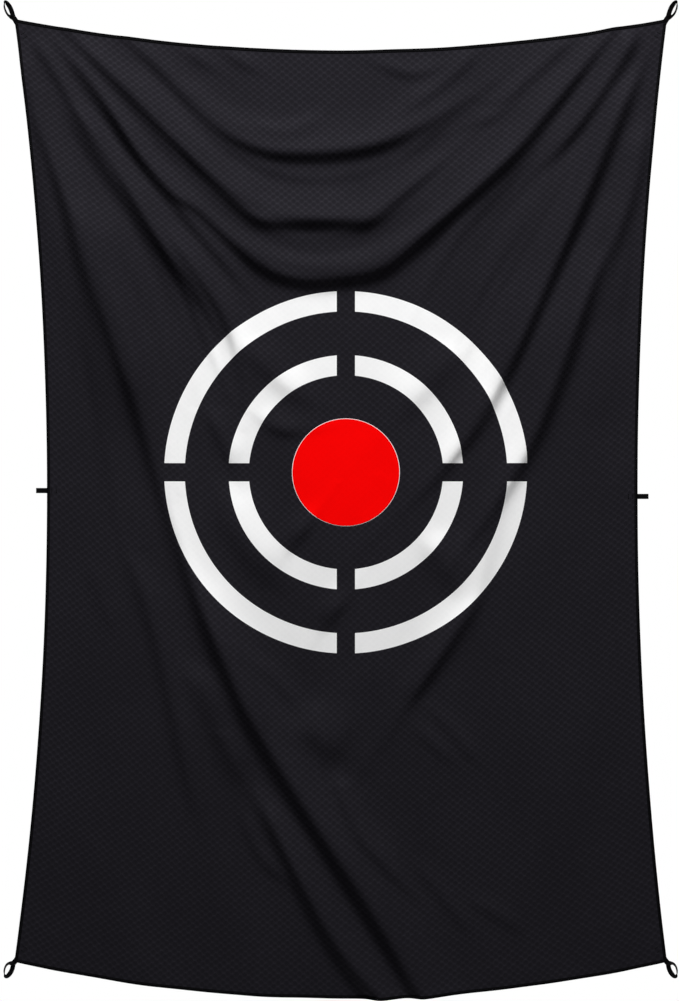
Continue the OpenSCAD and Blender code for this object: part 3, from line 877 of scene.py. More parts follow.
@dataclass(frozen=True)
class WovenCloth(Finish):
    """Black polyester with a honeycomb of dimples; its colour has a painted highlight on the ridges and
    painted shade in the dimples, over random tone.
    """

    # Colour of the ridges with their painted highlight, and of the dimples with their painted shade.
    ridge_highlight: tuple[float, float, float, float] = colour(0.0212, 0.0199, 0.0256)
    dimple: tuple[float, float, float, float] = colour(0.0108, 0.0101, 0.0130)
    lattice: tuple[float, float] = (13.0 * MM, 10.4 * MM)
    dimple_depth: float = 0.22 * MM
    thread_pitch: float = 0.9 * MM

    def material(self, effects: Effects) -> bpy.types.Material:
        """Builds the material; its weave follows the cloth's own flat map."""
        material, g, shader = self.start()
        flat = g.node("ShaderNodeUVMap", uv_map="flat").outputs[0]
        place = g.node("ShaderNodeTexCoord").outputs["Object"]
        comb = g.node("ShaderNodeGroup", node_tree=effects.dimples)
        weave = g.node("ShaderNodeGroup", node_tree=effects.weave)
        broad = g.node("ShaderNodeGroup", node_tree=effects.mottle)
        for made, values in ((comb, (flat, *self.lattice)), (weave, (flat, self.thread_pitch)),
                             (broad, (place, 7.0))):
            for k, value in enumerate(values):
                g.set(made.inputs[k], value)
        uneven = g.noise(g.vector("MULTIPLY", flat, (1.0, 1.0, 0.0)), 95.0, 3.0)
        worn = g.math("MULTIPLY_ADD", uneven, 0.7, g.math("MULTIPLY", broad.outputs[0], 0.25))
        # Painted highlight on the ridges, painted shade in the dimples and random tone; the base colour mixes
        # between the ridge and dimple colours by them.
        light = g.math("MULTIPLY", comb.outputs[1], g.math("MULTIPLY_ADD", uneven, 1.2, -0.15))
        dimple_shade_and_tone = g.math("MULTIPLY_ADD", comb.outputs[0], 0.5,
                      g.math("MULTIPLY", g.math("SUBTRACT", 1.0, worn), 0.7))
        shade = g.math("MAXIMUM", g.math("MINIMUM", g.math("SUBTRACT", dimple_shade_and_tone, light), 1.0), -0.6)
        base = g.mix(g.ramp(shade, -0.6, 1.0), self.ridge_highlight, self.dimple)
        g.set(shader.inputs["Base Color"], base)
        rough = g.math("MULTIPLY_ADD", comb.outputs[0], 0.14, self.roughness)
        g.set(shader.inputs["Roughness"], rough)
        height = g.math("MULTIPLY_ADD", weave.outputs[0], 0.16, g.math("SUBTRACT", 1.0, comb.outputs[0]))
        self.bump(g, shader, height, self.dimple_depth)
        return material


@dataclass(frozen=True)
class RibbedWebbing(Finish):
    """Black webbing or tape: lengthwise ribs, crossed by the weft; its colour has a painted highlight on the
    crests and painted shade between them.
    """

    # Colours of the painted highlight on the crests and of the painted shade between them.
    high: tuple[float, float, float, float] = colour(0.0034, 0.0034, 0.0038)
    low: tuple[float, float, float, float] = colour(0.0007, 0.0007, 0.0008)
    rib: float = 0.9 * MM
    weft: float = 0.55 * MM
    depth: float = 0.12 * MM

    def material(self, effects: Effects) -> bpy.types.Material:
        """Builds the material; U runs across the webbing and V along it, in metres."""
        material, g, shader = self.start()
        flat = g.node("ShaderNodeUVMap", uv_map="flat").outputs[0]
        place = g.node("ShaderNodeTexCoord").outputs["Object"]
        parts = g.node("ShaderNodeSeparateXYZ", {0: flat})
        ribs = g.math("ABSOLUTE", g.math("SINE", g.math("MULTIPLY", parts.outputs[0],
                                                         math.pi / self.rib)))
        weft = g.math("ABSOLUTE", g.math("SINE", g.math("MULTIPLY", parts.outputs[1],
                                                         math.pi / self.weft)))
        broad = g.node("ShaderNodeGroup", {0: place, 1: 160.0}, node_tree=effects.mottle)
        height = g.math("MULTIPLY_ADD", weft, 0.4, g.math("MULTIPLY", ribs, 0.6))
        # Painted highlight where ribs and weft rise and painted shade where they sink, varied at random by the
        # uneven dye.
        shade = g.math("MULTIPLY", height, g.math("MULTIPLY_ADD", broad.outputs[0], 0.4, 0.6))
        g.set(shader.inputs["Base Color"], g.mix(shade, self.low, self.high))
        g.set(shader.inputs["Roughness"], g.math("MULTIPLY_ADD", broad.outputs[0], 0.12, self.roughness))
        self.bump(g, shader, height, self.depth)
        return material


@dataclass(frozen=True)
class SewingThread(Finish):
    """Black twisted polyester thread, with a painted highlight on each ply and painted shade between the
    plies.
    """

    # Colours of the painted highlight on the plies and of the painted shade between them.
    high: tuple[float, float, float, float] = colour(0.0090, 0.0090, 0.0105)
    low: tuple[float, float, float, float] = colour(0.0025, 0.0025, 0.0030)
    twist: float = 1500.0

    def material(self, effects: Effects) -> bpy.types.Material:
        """Builds the material, with the twist as slanting plies."""
        material, g, shader = self.start()
        place = g.node("ShaderNodeTexCoord").outputs["Object"]
        slant = g.vector("DOT_PRODUCT", place, (self.twist, self.twist * 0.7, self.twist * 1.2), out=1)
        ply = g.math("ABSOLUTE", g.math("SINE", slant))
        uneven = g.node("ShaderNodeGroup", {0: place, 1: 400.0}, node_tree=effects.mottle)
        # Painted highlight on each ply's crest and painted shade between plies, varied at random by the uneven
        # dye.
        shade = g.math("MULTIPLY", ply, g.math("MULTIPLY_ADD", uneven.outputs[0], 0.4, 0.6))
        g.set(shader.inputs["Base Color"], g.mix(shade, self.low, self.high))
        g.set(shader.inputs["Roughness"], g.math("MULTIPLY_ADD", uneven.outputs[0], 0.15, self.roughness))
        self.bump(g, shader, ply, 0.06 * MM)
        return material


@dataclass(frozen=True)
class PressedFilm(Finish):
    """Smooth film pressed on the cloth, whose dimples just print through it, with painted shade in them and
    random tone.
    """

    clean: tuple[float, float, float, float] = colour(0.90, 0.90, 0.90)
    # Colour with painted shade in the printed-through dimples and random tone.
    print_shade_and_tone: tuple[float, float, float, float] = colour(0.86, 0.86, 0.865)
    lattice: tuple[float, float] = (13.0 * MM, 10.4 * MM)
    print_through: float = 0.025 * MM

    def material(self, effects: Effects) -> bpy.types.Material:
        """Builds the material; the print-through lines up with the cloth's own dimples."""
        material, g, shader = self.start()
        flat = g.node("ShaderNodeUVMap", uv_map="flat").outputs[0]
        place = g.node("ShaderNodeTexCoord").outputs["Object"]
        comb = g.node("ShaderNodeGroup", {0: flat, 1: self.lattice[0], 2: self.lattice[1]},
                      node_tree=effects.dimples)
        broad = g.node("ShaderNodeGroup", {0: place, 1: 22.0}, node_tree=effects.mottle)
        # Painted shade in the printed-through dimples and random tone from the uneven dye darken the film
        # towards its shaded colour.
        shade = g.math("MULTIPLY_ADD", comb.outputs[0], 0.35, g.math("MULTIPLY", broad.outputs[0], 0.45))
        g.set(shader.inputs["Base Color"], g.mix(shade, self.clean, self.print_shade_and_tone))
        g.set(shader.inputs["Roughness"], g.math("MULTIPLY_ADD", broad.outputs[0], 0.1, self.roughness))
        self.bump(g, shader, g.math("SUBTRACT", 1.0, comb.outputs[0]), self.print_through)
        return material


# --- sub-assemblies -----------------------------------------------------------------------


@dataclass
class HungCloth:
    """The one sheet of dimpled cloth."""

    drape: Drape
    thickness: float = 0.8 * MM

    def build(self, finish: bpy.types.Material) -> bpy.types.Object:
        """Builds the sheet and dresses it."""
        d = self.drape
        layers = [np.stack([d.x, d.middle_y - d.lift + side * self.thickness / 2, d.z], -1)
                  for side in (-1, 1)]
        i, j = np.meshgrid(np.arange(d.cols + 1.0), np.arange(d.rows + 1.0), indexing="ij")
        flat = d.flat_place(i, j).reshape(-1, 2)
        vertices = np.concatenate([layer.reshape(-1, 3) for layer in layers])
        piece = make_piece("hung_cloth", vertices, sheet_faces(d.cols + 1, d.rows + 1),
                           np.concatenate([flat, flat]))
        return dress(piece, finish, ["cloth_panel"])


@dataclass
class TapedEdge:
    """Tape folded over one edge of the cloth, and the two rows of stitches that hold it.

    Sizes are in mm, measured outwards from the cloth's edge and from the cloth's middle.
    """

    edge: Edge
    drape: Drape
    width: float = 4.2
    strip: float = 5.0
    cloth_half: float = 0.4
    slack: float = 0.1
    tape: float = 0.5
    butt: float = 0.3
    stitch_in: float = 2.7
    stitch_pitch: float = 3.3
    stitch_size: tuple[float, float, float] = (1.3, 0.36, 0.26)

    def lines(self) -> tuple[np.ndarray, np.ndarray]:
        """Points on the cloth's edge, and one tape width in from it, along the edge."""
        d = self.drape
        middle = np.stack([d.x, d.middle_y - d.lift, d.z], -1)
        if self.edge is Edge.TOP:
            return middle[:, 0], middle[:, 1]
        if self.edge is Edge.BOTTOM:
            return middle[:, -1], middle[:, -2]
        outer, inner = (0, 1) if self.edge is Edge.LEFT else (-1, -2)
        on, within = middle[outer, 1:-1].copy(), middle[inner, 1:-1].copy()
        for line in (on, within):
            for end, step in ((0, 1), (-1, -2)):
                towards = line[step] - line[end]
                line[end] += towards * self.butt * MM / np.linalg.norm(towards)
        return on, within

    def section(self) -> np.ndarray:
        """The folded tape's section as closed (outwards, towards the back) points, mm."""
        inside, outside = self.cloth_half + self.slack, self.cloth_half + self.slack + self.tape
        turn = np.linspace(math.pi / 2, -math.pi / 2, 9)
        fold_at = -self.slack
        skin = [(-self.width, outside - 0.22), (-self.width + 0.25, outside - 0.02),
                (-self.stitch_in - 0.8, outside), (-self.stitch_in, outside - 0.09),
                (-self.stitch_in + 0.8, outside + 0.02), (-1.0, outside)]
        outer = skin + [(fold_at + outside * math.cos(a), outside * math.sin(a)) for a in turn]
        outer += [(a, -b) for a, b in reversed(skin)]
        inner = [(-self.width, -inside), (-self.stitch_in, -inside)]
        inner += [(fold_at + inside * math.cos(a), inside * math.sin(a)) for a in turn[::-1]]
        inner += [(-self.stitch_in, inside), (-self.width, inside)]
        return np.array(outer + inner)

    def build_tape(self, finish: bpy.types.Material) -> bpy.types.Object:
        """Sweeps the folded tape along the edge and dresses it."""
        on, within = self.lines()
        outwards = unit((on - within) * (1, 0, 1))
        shape = self.section() * MM
        rings = (on[:, None] + shape[None, :, :1] * outwards[:, None]
                 + shape[None, :, 1:] * np.array((0.0, 1.0, 0.0)))
        walked = np.concatenate([[0], np.cumsum(np.linalg.norm(np.diff(on, axis=0), axis=1))])
        steps = np.linalg.norm(np.diff(shape, axis=0), axis=1)
        across = np.concatenate([[0], np.cumsum(steps)])
        uv = np.stack(np.broadcast_arrays(across[None, :], walked[:, None]), -1).reshape(-1, 2)
        piece = make_piece(f"{self.edge.value}_edge_tape", rings.reshape(-1, 3),
                           swept_faces(len(rings), len(shape)), uv)
        return dress(piece, finish, [f"{self.edge.value}_binding"])

    def build_stitches(self, finish: bpy.types.Material) -> bpy.types.Object:
        """Lays both rows of stitches and dresses them."""
        on, within = self.lines()
        seam = on + (within - on) * (self.stitch_in / self.strip)
        walked = np.concatenate([[0], np.cumsum(np.linalg.norm(np.diff(seam, axis=0), axis=1))])
        count = int((walked[-1] / MM - 2 * self.stitch_pitch) // self.stitch_pitch)
        middles = (walked[-1] - count * self.stitch_pitch * MM) / 2 + (
            np.arange(count) + 0.5) * self.stitch_pitch * MM
        place = np.stack([np.interp(middles, walked, seam[:, k]) for k in range(3)], 1)
        ahead = np.stack([np.interp(middles + MM, walked, seam[:, k]) for k in range(3)], 1)
        back = np.stack([np.interp(middles - MM, walked, seam[:, k]) for k in range(3)], 1)
        along = unit(ahead - back)
        through = unit(np.cross(along, np.cross((0.0, 1.0, 0.0), along)))
        across = np.cross(along, through)
        skin = (self.cloth_half + self.slack + self.tape) * MM
        corners, faces = stitch_shape(self.stitch_size)
        vertices, found = [], []
        for side in (-1, 1):
            middle = place + np.array((0.0, side * (skin + 0.1 * MM), 0.0))
            frames = np.stack([along, across, through], 1)
            vertices.append(middle[:, None] + np.einsum("vk,nkc->nvc", corners, frames))
        vertices = np.concatenate(vertices).reshape(-1, 3)
        for k in range(2 * count):
            found += [tuple(v + k * len(corners) for v in face) for face in faces]
        piece = make_piece(f"{self.edge.value}_hem_stitches", vertices, found)
        return dress(piece, finish, [f"{self.edge.value}_hem_thread"])


def stitch_shape(size: tuple[float, float, float]) -> tuple[np.ndarray, list[tuple[int, ...]]]:
    """Models one stitch: a small bead of thread, pulled long and pinched at both ends.

    Args:
        size: Half length, half width and half height, mm.

    Returns:
        Its corners, with the length along the first axis, and its faces.
    """
    deselect_all()
    bpy.ops.mesh.primitive_uv_sphere_add(segments=6, ring_count=4, radius=1.0)
    bead = bpy.context.active_object
    bpy.ops.object.mode_set(mode="EDIT")
    bpy.ops.mesh.select_all(action="SELECT")
    bpy.ops.transform.rotate(value=math.pi / 2, orient_axis="Y", center_override=(0.0, 0.0, 0.0))
    bpy.ops.transform.resize(value=tuple(s * MM for s in size), center_override=(0.0, 0.0, 0.0))
    bpy.ops.object.mode_set(mode="OBJECT")
    corners = np.array([v.co for v in bead.data.vertices])
    faces = [tuple(p.vertices) for p in bead.data.polygons]
    mesh = bead.data
    bpy.data.objects.remove(bead)
    bpy.data.meshes.remove(mesh)
    return corners, faces


@dataclass
class RingTarget:
    """The pressed target: two rings, each split in four by a cross, and a red disc on a white one.

    Sizes are in metres.
    """

    drape: Drape
    middle_x: float = 8 * MM
    rise: float = 28 * MM
    ring_radii: dict[str, float] = field(default_factory=lambda: {"outer": 0.278, "inner": 0.180})
    band: float = 31 * MM
    gap: float = 28 * MM
    disc: float = 82 * MM
    rim: float = 0.8 * MM
    film: float = 0.3 * MM
    slack: float = 0.1 * MM
    cell: float = 2.6 * MM

    QUARTERS = (("top_left", -1, 1), ("top_right", 1, 1),
                ("bottom_left", -1, -1), ("bottom_right", 1, -1))

    def _spun(self, inner: float, outer: float, turn: float, steps: int) -> bpy.types.Object:
        """Spins a radial line of points round the target's middle into a flat band."""
        count = max(2, round((outer - inner) / self.cell))
        line = [(r, 0.0, 0.0) for r in np.linspace(inner, outer, count + 1).tolist()]
        mesh = bpy.data.meshes.new("band")
        mesh.from_pydata(line, [(k, k + 1) for k in range(count)], [])
        band = bpy.data.objects.new("band", mesh)
        bpy.context.scene.collection.objects.link(band)
        only(band)
        bpy.ops.object.mode_set(mode="EDIT")
        bpy.ops.mesh.select_all(action="SELECT")
        bpy.ops.mesh.spin(steps=steps, angle=turn, center=(0.0, 0.0, 0.0), axis=(0.0, 1.0, 0.0))
        bpy.ops.mesh.select_all(action="SELECT")
        bpy.ops.mesh.remove_doubles(threshold=1e-6)
        return band

    def _pressed(self, name: str, band: bpy.types.Object, layer: int, across: int = 1,
                 up: int = 1) -> bpy.types.Object:
        """Gives a flat band its thickness and presses it on the cloth.

        Args:
            name: Name of the piece, without its ending.
            band: The band, drawn flat round the origin in X and Z.
            layer: Number of other films that it lies on.
            across: -1 where it is mirrored to the left, or 1.
            up: -1 where it is mirrored downwards, or 1.

        Returns:
            The film, lying on the cloth.
        """
        bpy.ops.object.mode_set(mode="OBJECT")
        only(band)
        thick = band.modifiers.new("film", "SOLIDIFY")
        thick.thickness, thick.offset = self.film, 1.0
        bpy.ops.object.modifier_apply(modifier=thick.name)
        local = np.array([v.co for v in band.data.vertices])
        faces = [tuple(p.vertices) for p in band.data.polygons]
        mesh = band.data
        bpy.data.objects.remove(band)
        bpy.data.meshes.remove(mesh)
        depth = local[:, 1] - local[:, 1].min()
        o = self.drape.outline
        x = self.middle_x + across * local[:, 0]
        z = o.top_z - o.height / 2 + self.rise + up * local[:, 2]
        skin = 0.4 * MM + self.slack + layer * (self.film + self.slack)
        y = self.drape.middle_y - self.drape.lift_at(x, z) - skin - depth
        flat = self.drape.flat_place(*self.drape.locate(x, z))
        return make_piece(f"{name}_film", np.stack([x, y, z], 1), faces, flat)

    def build_rings(self, finish: bpy.types.Material) -> list[bpy.types.Object]:
        """Builds the eight quarters of the two rings."""
        found = []
        for ring, radius in self.ring_radii.items():
            for quarter, across, up in self.QUARTERS:
                steps = round(radius * math.pi / 2 / self.cell)
                band = self._spun(radius - self.band, radius, math.pi / 2, steps)
                for normal in ((1.0, 0.0, 0.0), (0.0, 0.0, 1.0)):
                    self._trim(band, normal)
                name = f"{ring}_ring_{quarter}"
                piece = self._pressed(name, band, 0, across, up)
                found.append(dress(piece, finish, [name]))
        return found

    def _trim(self, band: bpy.types.Object, normal: tuple[float, float, float]) -> None:
        """Cuts a band off square along one side of the cross-shaped gap."""
        bpy.ops.mesh.select_all(action="SELECT")
        place = tuple(n * self.gap / 2 for n in normal)
        bpy.ops.mesh.bisect(plane_co=place, plane_no=normal, clear_inner=True, threshold=1e-6)

    def build_disc(self, name: str, radius: float, layer: int, finish: bpy.types.Material) -> bpy.types.Object:
        """Builds one round film, the first on the cloth or the second on top of it."""
        band = self._spun(0.0, radius, 2 * math.pi, 144)
        piece = self._pressed(name, band, layer)
        return dress(piece, finish, [name])

    def build(self, white: bpy.types.Material, red: bpy.types.Material) -> list[bpy.types.Object]:
        """Builds the whole target."""
        base = self.build_disc("bullseye_white_base", self.disc + self.rim, 0, white)
        top = self.build_disc("bullseye_red_disc", self.disc, 1, red)
        return [*self.build_rings(white), base, top]


@dataclass
class WebbingLoop:
    """One loop of webbing whose two ends are sewn down behind the cloth, and its bar tacks.

    Lengths are in mm. The loop is drawn with its hinge line along X through the origin, its
    reach along Z and the player looking along Y; `to_frame` puts it in its place.
    """

    hang: Hang
    drape: Drape
    width: float = 8.0
    thick: float = 1.2
    layer_gap: float = 0.1
    turn_gap: float = 0.3
    ends_out: float = 3.0
    sewn: float = 10.0
    eye_depth: float = 6.0
    side_rise: float = -9.0
    thread: float = 0.4
    bar_width: float = 1.0
    bar_in: float = 1.5
    zigzags: int = 17

    REACH = {1: 36.0, -1: 29.0, 0: 18.0}
    LEAN = {1: 30.0, -1: 35.0, 0: 90.0}
    TURN = ((0, 70), (0.05, 68), (0.13, 66), (0.30, 62), (0.40, 48), (0.46, 26), (0.50, 4),
            (0.54, -12), (0.60, -17), (0.86, -17), (0.9, -22), (0.94, -38), (0.97, -54), (1, -70))
    ROUTE = {
        1: ((0.6, 0), (-0.2, 0.1), (-1.6, 0.28), (-2.5, 0.44), (-2.8, 0.6), (-2.2, 0.76),
            (-1.2, 0.87), (-0.4, 0.91), (1.0, 0.88), (3.2, 0.78), (5.3, 0.6), (6.2, 0.4),
            (6.0, 0.26), (4.6, 0.12), (2.8, 0.04), (0.6, 0)),
        -1: ((0.6, 0), (-1.0, 0.12), (-2.9, 0.3), (-4.0, 0.5), (-4.2, 0.68), (-3.6, 0.86),
             (-2.2, 0.955), (-1.0, 0.98), (0.8, 0.955), (3.4, 0.85), (6.0, 0.67), (7.6, 0.46),
             (7.8, 0.3), (6.6, 0.15), (4.0, 0.06), (0.6, 0)),
    }
    MOST_SWELL = 4 / (3 * math.sqrt(3))

    @property
    def across(self) -> int:
        """1 at the right, -1 at the left."""
        return self.hang.value[1]

    @property
    def up(self) -> int:
        """1 at the top, -1 at the bottom, 0 half way down."""
        return self.hang.value[2]

    @property
    def stack_half(self) -> float:
        """Half the thickness of two layers of webbing."""
        return self.thick + self.layer_gap / 2

    @property
    def leg_y(self) -> float:
        """Middle of each layer from the middle of both."""
        return (self.thick + self.layer_gap) / 2

    @property
    def hinge_out(self) -> float:
        """Distance of the hinge line from the cloth."""
        return self.ends_out + self.turn_gap + self.stack_half

    @property
    def loop_length(self) -> float:
        """Length of the loop past its hinge line, to the middle of its webbing."""
        return self.REACH[self.up] - self.hinge_out - self.thick / 2

    @property
    def ends_in(self) -> float:
        """Length of webbing behind the cloth."""
        slant = math.pi / 2
        if self.up:
            o = self.drape.outline
            lean = math.radians(self.LEAN[self.up])
            bow = o.bow_right if self.across > 0 else o.bow_left
            over = math.atan(4 * o.sag_top / o.width) if self.up > 0 else 0.0
            slant = min(lean - math.atan(4 * bow / o.height), math.pi / 2 - lean - over)
        tape = self.drape.outline.strip / MM
        return (tape + self.width / 2 * math.cos(slant)) / math.sin(slant) + self.sewn

    def to_frame(self, points: np.ndarray) -> np.ndarray:
        """Turns places near the hinge, in mm, into places in the row frame, in metres."""
        o = self.drape.outline
        x, y, z = points[..., 0], points[..., 1], points[..., 2] + self.hinge_out
        if self.up:
            lean = math.radians(self.LEAN[self.up])
            away = -x * math.cos(lean) + z * math.sin(lean)
            rise = x * math.sin(lean) + z * math.cos(lean)
            corner_z = o.top_z - (0 if self.up > 0 else o.height)
            return np.stack([self.across * (o.width / 2 + away * MM), y * MM,
                             corner_z + self.up * rise * MM], -1)
        rise = (self.side_rise if self.across > 0 else 0.0) * MM
        v = 0.5 - rise / o.height
        edge = o.right(v) if self.across > 0 else o.left(v)
        return np.stack([edge + self.across * z * MM, y * MM, o.top_z - o.height / 2 + rise - x * MM], -1)

    def _middle(self, s: np.ndarray) -> np.ndarray:
        """Middle of the webbing round the loop, s from 0 to 1, mm."""
        if self.up:
            route = np.array(self.ROUTE[self.up]) * (1, self.loop_length)
            walked = np.concatenate([[0], np.cumsum(np.hypot(*np.diff(route, axis=0).T))])
            out, rise = (np.interp(s, walked / walked[-1], route[:, k]) for k in (0, 1))
            y = self.leg_y * np.cos(np.pi * eased(s)) * (1 + 0.8 * np.sin(2 * np.pi * s) ** 2)
            line = np.stack([-out, y, rise], 1)
            for _ in range(24):
                line[1:-1] = 0.25 * line[:-2] + 0.5 * line[1:-1] + 0.25 * line[2:]
            return line
        swell = np.sin(2 * np.pi * s) * np.sin(np.pi * s) / self.MOST_SWELL
        climb = self.loop_length * (1 - np.cos(2 * np.pi * s)) / 2
        wide = (self.eye_depth + self.thick) / 2 * np.sign(swell) * np.abs(swell) ** 1.6
        return np.stack([np.zeros_like(s), -wide - self.leg_y * np.cos(np.pi * s) ** 3, climb], 1)

    def path(self) -> tuple[np.ndarray, np.ndarray]:
        """The webbing from one sewn end round the loop to the other, and its turn at each place.

        Returns:
            Middle of the webbing, mm, and the angle from edge-on to face-on, in radians.
        """
        s = np.linspace(0, 1, 161)
        round_loop = self._middle(s)
        turn = np.interp(s, *zip(*self.TURN)) if self.up else np.full_like(s, 90.0)
        tail = np.linspace(-(self.ends_in + self.hinge_out), -0.5, 40)
        drift = round_loop[0, 0] * eased(1 + tail / 4)
        first = np.stack([drift, np.full_like(tail, round_loop[0, 1]), tail], 1)
        last = np.stack([drift, np.full_like(tail, round_loop[-1, 1]), tail], 1)[::-1]
        line = np.concatenate([first, round_loop, last])
        tail_turn = 90 + (turn[0] - 90) * eased(1 + tail / 3)
        turns = np.concatenate([tail_turn, turn, (-tail_turn if self.up else tail_turn)[::-1]])
        walked = np.concatenate([[0], np.cumsum(np.linalg.norm(np.diff(line, axis=0), axis=1))])
        even = np.arange(0, walked[-1], 0.75)
        even = np.concatenate([even, walked[-1:]])
        line = np.stack([np.interp(even, walked, line[:, k]) for k in range(3)], 1)
        turns = np.interp(even, walked, turns)
        near_hinge = eased(1 - np.abs(line[:, 2]) / 6)[1:-1, None]
        for _ in range(10):
            smooth = 0.25 * line[:-2] + 0.5 * line[1:-1] + 0.25 * line[2:]
            line[1:-1] += near_hinge * (smooth - line[1:-1])
        return line, np.radians(turns)

    def section(self) -> np.ndarray:
        """Section of the webbing as (across, through) points with worn, rounded sides, mm."""
        half, edge = self.width / 2, self.thick / 2
        turn = np.linspace(-math.pi / 2, math.pi / 2, 6)
        side = [(half - 0.45 + 0.45 * math.cos(a), edge * math.sin(a)) for a in turn]
        flat = [(x, edge) for x in (2.1, 0.7, -0.7, -2.1)]
        upper = side + flat
        return np.array(upper + [(-x, -y) for x, y in upper])

    def build_webbing(self, finish: bpy.types.Material) -> bpy.types.Object:
        """Builds the webbing and dresses it, leaving it on no body."""
        line, turn = self.path()
        along = unit(np.gradient(line, axis=0))
        flat = np.broadcast_to((1.0, 0.0, 0.0), along.shape)
        if self.up:
            flat = unit(np.stack([along[:, 2], np.zeros_like(turn), -along[:, 0]], 1))
        level = flat * np.sin(turn)[:, None] - np.array((0.0, 1.0, 0.0)) * np.cos(turn)[:, None]
        through = unit(np.cross(along, level))
        shape = self.section()
        rings = (line[:, None] + shape[None, :, :1] * level[:, None]
                 + shape[None, :, 1:] * through[:, None])
        walked = np.concatenate([[0], np.cumsum(np.linalg.norm(np.diff(line, axis=0), axis=1))])
        uv = np.stack(np.broadcast_arrays(shape[None, :, 0], walked[:, None]), -1).reshape(-1, 2) * MM
        name = self.hang.value[0]
        body = f"{name}_loop"
        piece = make_piece(f"{name}_webbing", self.to_frame(rings).reshape(-1, 3),
                           swept_faces(len(rings), len(shape)), uv)
        dress(piece, finish, [body, f"{body}_ends"], body=None)
        bend = self.to_frame(np.array([[0.0, 0.0, -2.0], [0.0, 0.0, 4.0]]))
        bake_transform(piece)
        return piece

    def build_bartack(self, finish: bpy.types.Material) -> bpy.types.Object:
        """Sews the dense zigzag bars on the front of the cloth and on the back of the webbing."""
        front = self.drape.middle_y / MM - 0.5 - self.thread / 2
        back = self.stack_half + self.layer_gap + self.thread / 2
        reach = (self.width - self.bar_width) / 2
        bars = [self.ends_in - self.sewn + self.bar_in, self.ends_in - self.bar_in]
        turn = np.linspace(0, 2 * math.pi, 7)[:-1]
        ring = np.stack([np.cos(turn), np.sin(turn)], 1) * self.thread / 2
        vertices, faces = [], []
        steps = np.arange(2 * self.zigzags + 1)
        for bar in bars:
            for y in (front, back):
                x = reach * (2 * steps / steps[-1] - 1)
                z = -(self.hinge_out + bar) + self.bar_width * 0.4 * (1 - 2 * (steps % 2))
                line = np.stack([x, np.full_like(x, y), z], 1)
                along = unit(np.gradient(line, axis=0))
                through = np.broadcast_to((0.0, 1.0, 0.0), line.shape)
                level = unit(np.cross(along, through))
                rings = (line[:, None] + ring[None, :, :1] * level[:, None]
                         + ring[None, :, 1:] * through[:, None])
                start = sum(len(v) for v in vertices)
                vertices.append(self.to_frame(rings).reshape(-1, 3))
                faces += [tuple(v + start for v in face) for face in swept_faces(len(rings), len(ring))]
        name = f"{self.hang.value[0]}_bartack"
        piece = make_piece(f"{name}_stitches", np.concatenate(vertices), faces)
        return dress(piece, finish, [name])


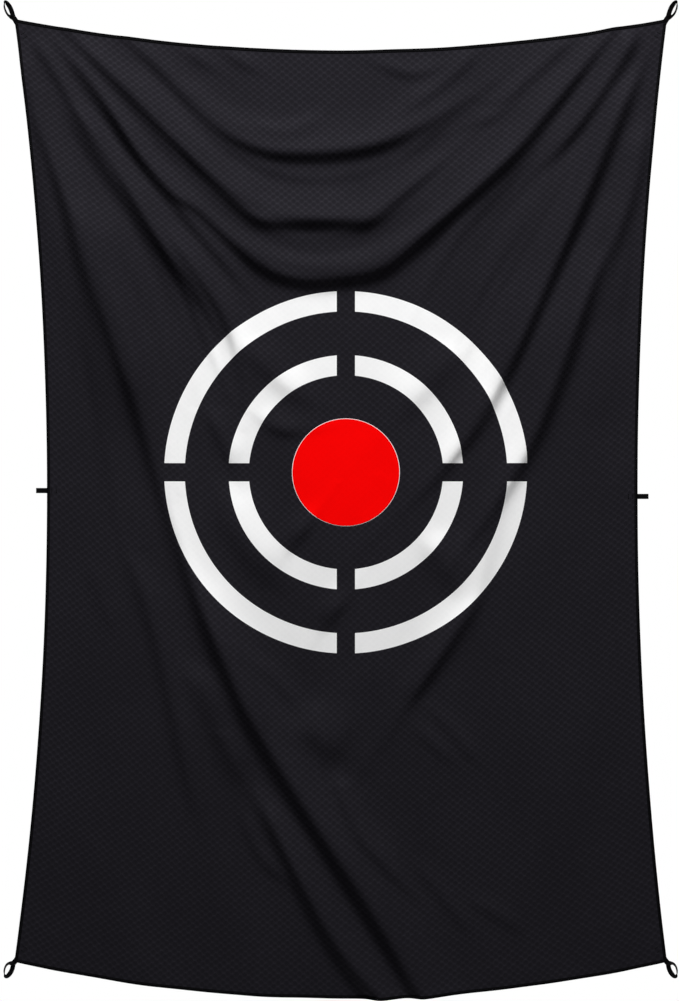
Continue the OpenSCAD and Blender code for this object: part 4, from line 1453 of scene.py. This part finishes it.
@dataclass
class Studio:
    """Camera, lamps, floor and the white surround."""

    eye: tuple[float, float, float] = (-0.0018, -3.631, -0.7684)
    lens: float = 85.0
    floor_z: float = -2.60
    floor_radius: float = 1.10
    surround: float = 0.03
    key_power: float = 208.0
    fill_power: float = 2.0
    back_power: float = 110.0

    def camera(self) -> None:
        """Makes the scene's camera, level and square to the cloth."""
        data = bpy.data.cameras.new("camera")
        data.lens, data.sensor_width, data.sensor_fit = self.lens, 36.0, "AUTO"
        data.dof.use_dof = False
        camera = bpy.data.objects.new("camera", data)
        camera.location = self.eye
        camera.rotation_euler = (math.pi / 2, 0.0, 0.0)
        bpy.context.scene.collection.objects.link(camera)
        bpy.context.scene.camera = camera

    def lamp(self, name: str, place: tuple[float, float, float], aim: tuple[float, float, float],
             size: tuple[float, float], power: float) -> None:
        """Hangs one soft rectangular lamp.

        Args:
            name: Name of the lamp.
            place: Its middle.
            aim: The point that it faces.
            size: Its width and height.
            power: Its power in watts.
        """
        data = bpy.data.lights.new(name, "AREA")
        data.shape, data.size, data.size_y, data.energy = "RECTANGLE", *size, power
        lamp = bpy.data.objects.new(name, data)
        lamp.location = place
        facing = Vector(aim) - Vector(place)
        lamp.rotation_euler = facing.to_track_quat("-Z", "Y").to_euler()
        bpy.context.scene.collection.objects.link(lamp)

    def lights(self) -> None:
        """Hangs the lamps: a broad one in front, a weak one beside the camera, one behind."""
        self.lamp("key", (0.1, -2.2, 2.35), (0.0, 0.0, -0.45), (1.4, 0.9), self.key_power)
        self.lamp("fill", (0.4, -3.4, -0.7), (0.0, 0.0, -0.75), (2.4, 2.4), self.fill_power)
        self.lamp("back", (-0.3, 2.6, 1.9), (0.0, 0.0, -0.6), (1.6, 1.0), self.back_power)

    def world(self) -> None:
        """Makes the surround: plain white where it is seen, and soft where it lights."""
        world = bpy.data.worlds.new("surround")
        bpy.context.scene.world = world
        world.use_nodes = True
        g = Graph(world.node_tree)
        back = next(n for n in world.node_tree.nodes if n.type == "BACKGROUND")
        path = g.node("ShaderNodeLightPath")
        seen = g.math("MAXIMUM", path.outputs["Is Camera Ray"],
                      g.math("MAXIMUM", path.outputs["Is Glossy Ray"],
                             path.outputs["Is Transmission Ray"]))
        strength = g.math("MULTIPLY_ADD", seen, 1.0 - self.surround, self.surround)
        back.inputs["Color"].default_value = colour(1.0, 1.0, 1.0)
        g.set(back.inputs["Strength"], strength)

    def floor(self) -> bpy.types.Object:
        """Lays the pale floor, well below the cloth."""
        deselect_all()
        bpy.ops.mesh.primitive_circle_add(vertices=96, radius=self.floor_radius, fill_type="NGON",
                                          location=(0.0, -0.2, self.floor_z))
        floor = bpy.context.active_object
        floor.name = "floor"
        material = bpy.data.materials.new("pale_floor")
        material.use_nodes = True
        g = Graph(material.node_tree)
        shader = next(n for n in material.node_tree.nodes if n.type == "BSDF_PRINCIPLED")
        place = g.node("ShaderNodeTexCoord").outputs["Object"]
        g.set(shader.inputs["Base Color"],
              g.mix(g.noise(place, 6.0), colour(0.80, 0.80, 0.80), colour(0.84, 0.84, 0.84)))
        shader.inputs["Roughness"].default_value = 0.8
        floor.data.materials.append(material)
        return floor

    def build(self) -> None:
        """Builds the whole studio."""
        bpy.context.scene.view_settings.view_transform = "Standard"
        self.camera()
        self.lights()
        self.world()
        self.floor()


@dataclass
class TargetCloth:
    """The whole object: cloth, taped edges, pressed target and webbing loops."""

    drape: Drape = field(default_factory=Drape)
    effects: Effects = field(default_factory=Effects)

    def build(self) -> None:
        cloth_finish = WovenCloth("dimpled_cloth", 0.62, 0.02).material(self.effects)
        tape_finish = RibbedWebbing("edge_tape", 0.85, 0.02).material(self.effects)
        hem_finish = SewingThread("hem_thread", 0.7, 0.08).material(self.effects)
        webbing_finish = RibbedWebbing("loop_webbing", 0.75, 0.03, depth=0.2 * MM).material(self.effects)
        bar_finish = SewingThread("bartack_thread", 0.65, 0.1).material(self.effects)
        white = PressedFilm("white_film", 0.6, 0.05).material(self.effects)
        red = PressedFilm("red_film", 0.6, 0.03, clean=colour(0.98, 0.0, 0.0),
                          print_shade_and_tone=colour(0.94, 0.0, 0.0)).material(self.effects)

        cloth = HungCloth(self.drape).build(cloth_finish)
        log.info("%s: %d faces", cloth.name, len(cloth.data.polygons))
        sewn_on = []
        for edge in Edge:
            taped = TapedEdge(edge, self.drape)
            sewn_on += [taped.build_tape(tape_finish), taped.build_stitches(hem_finish)]
            log.info("%s edge: tape and stitches", edge.value)
        sewn_on += RingTarget(self.drape).build(white, red)
        log.info("target: rings and discs")
        for hang in Hang:
            loop = WebbingLoop(hang, self.drape)
            loop.build_webbing(webbing_finish)
            sewn_on.append(loop.build_bartack(bar_finish))
            log.info("%s: webbing and bar tacks", hang.value[0])


def main() -> None:
    """Builds the studio and the object."""
    logging.basicConfig(level=logging.INFO, format="%(message)s")
    Studio().build()
    TargetCloth().build()


if __name__ == "__main__":
    main()
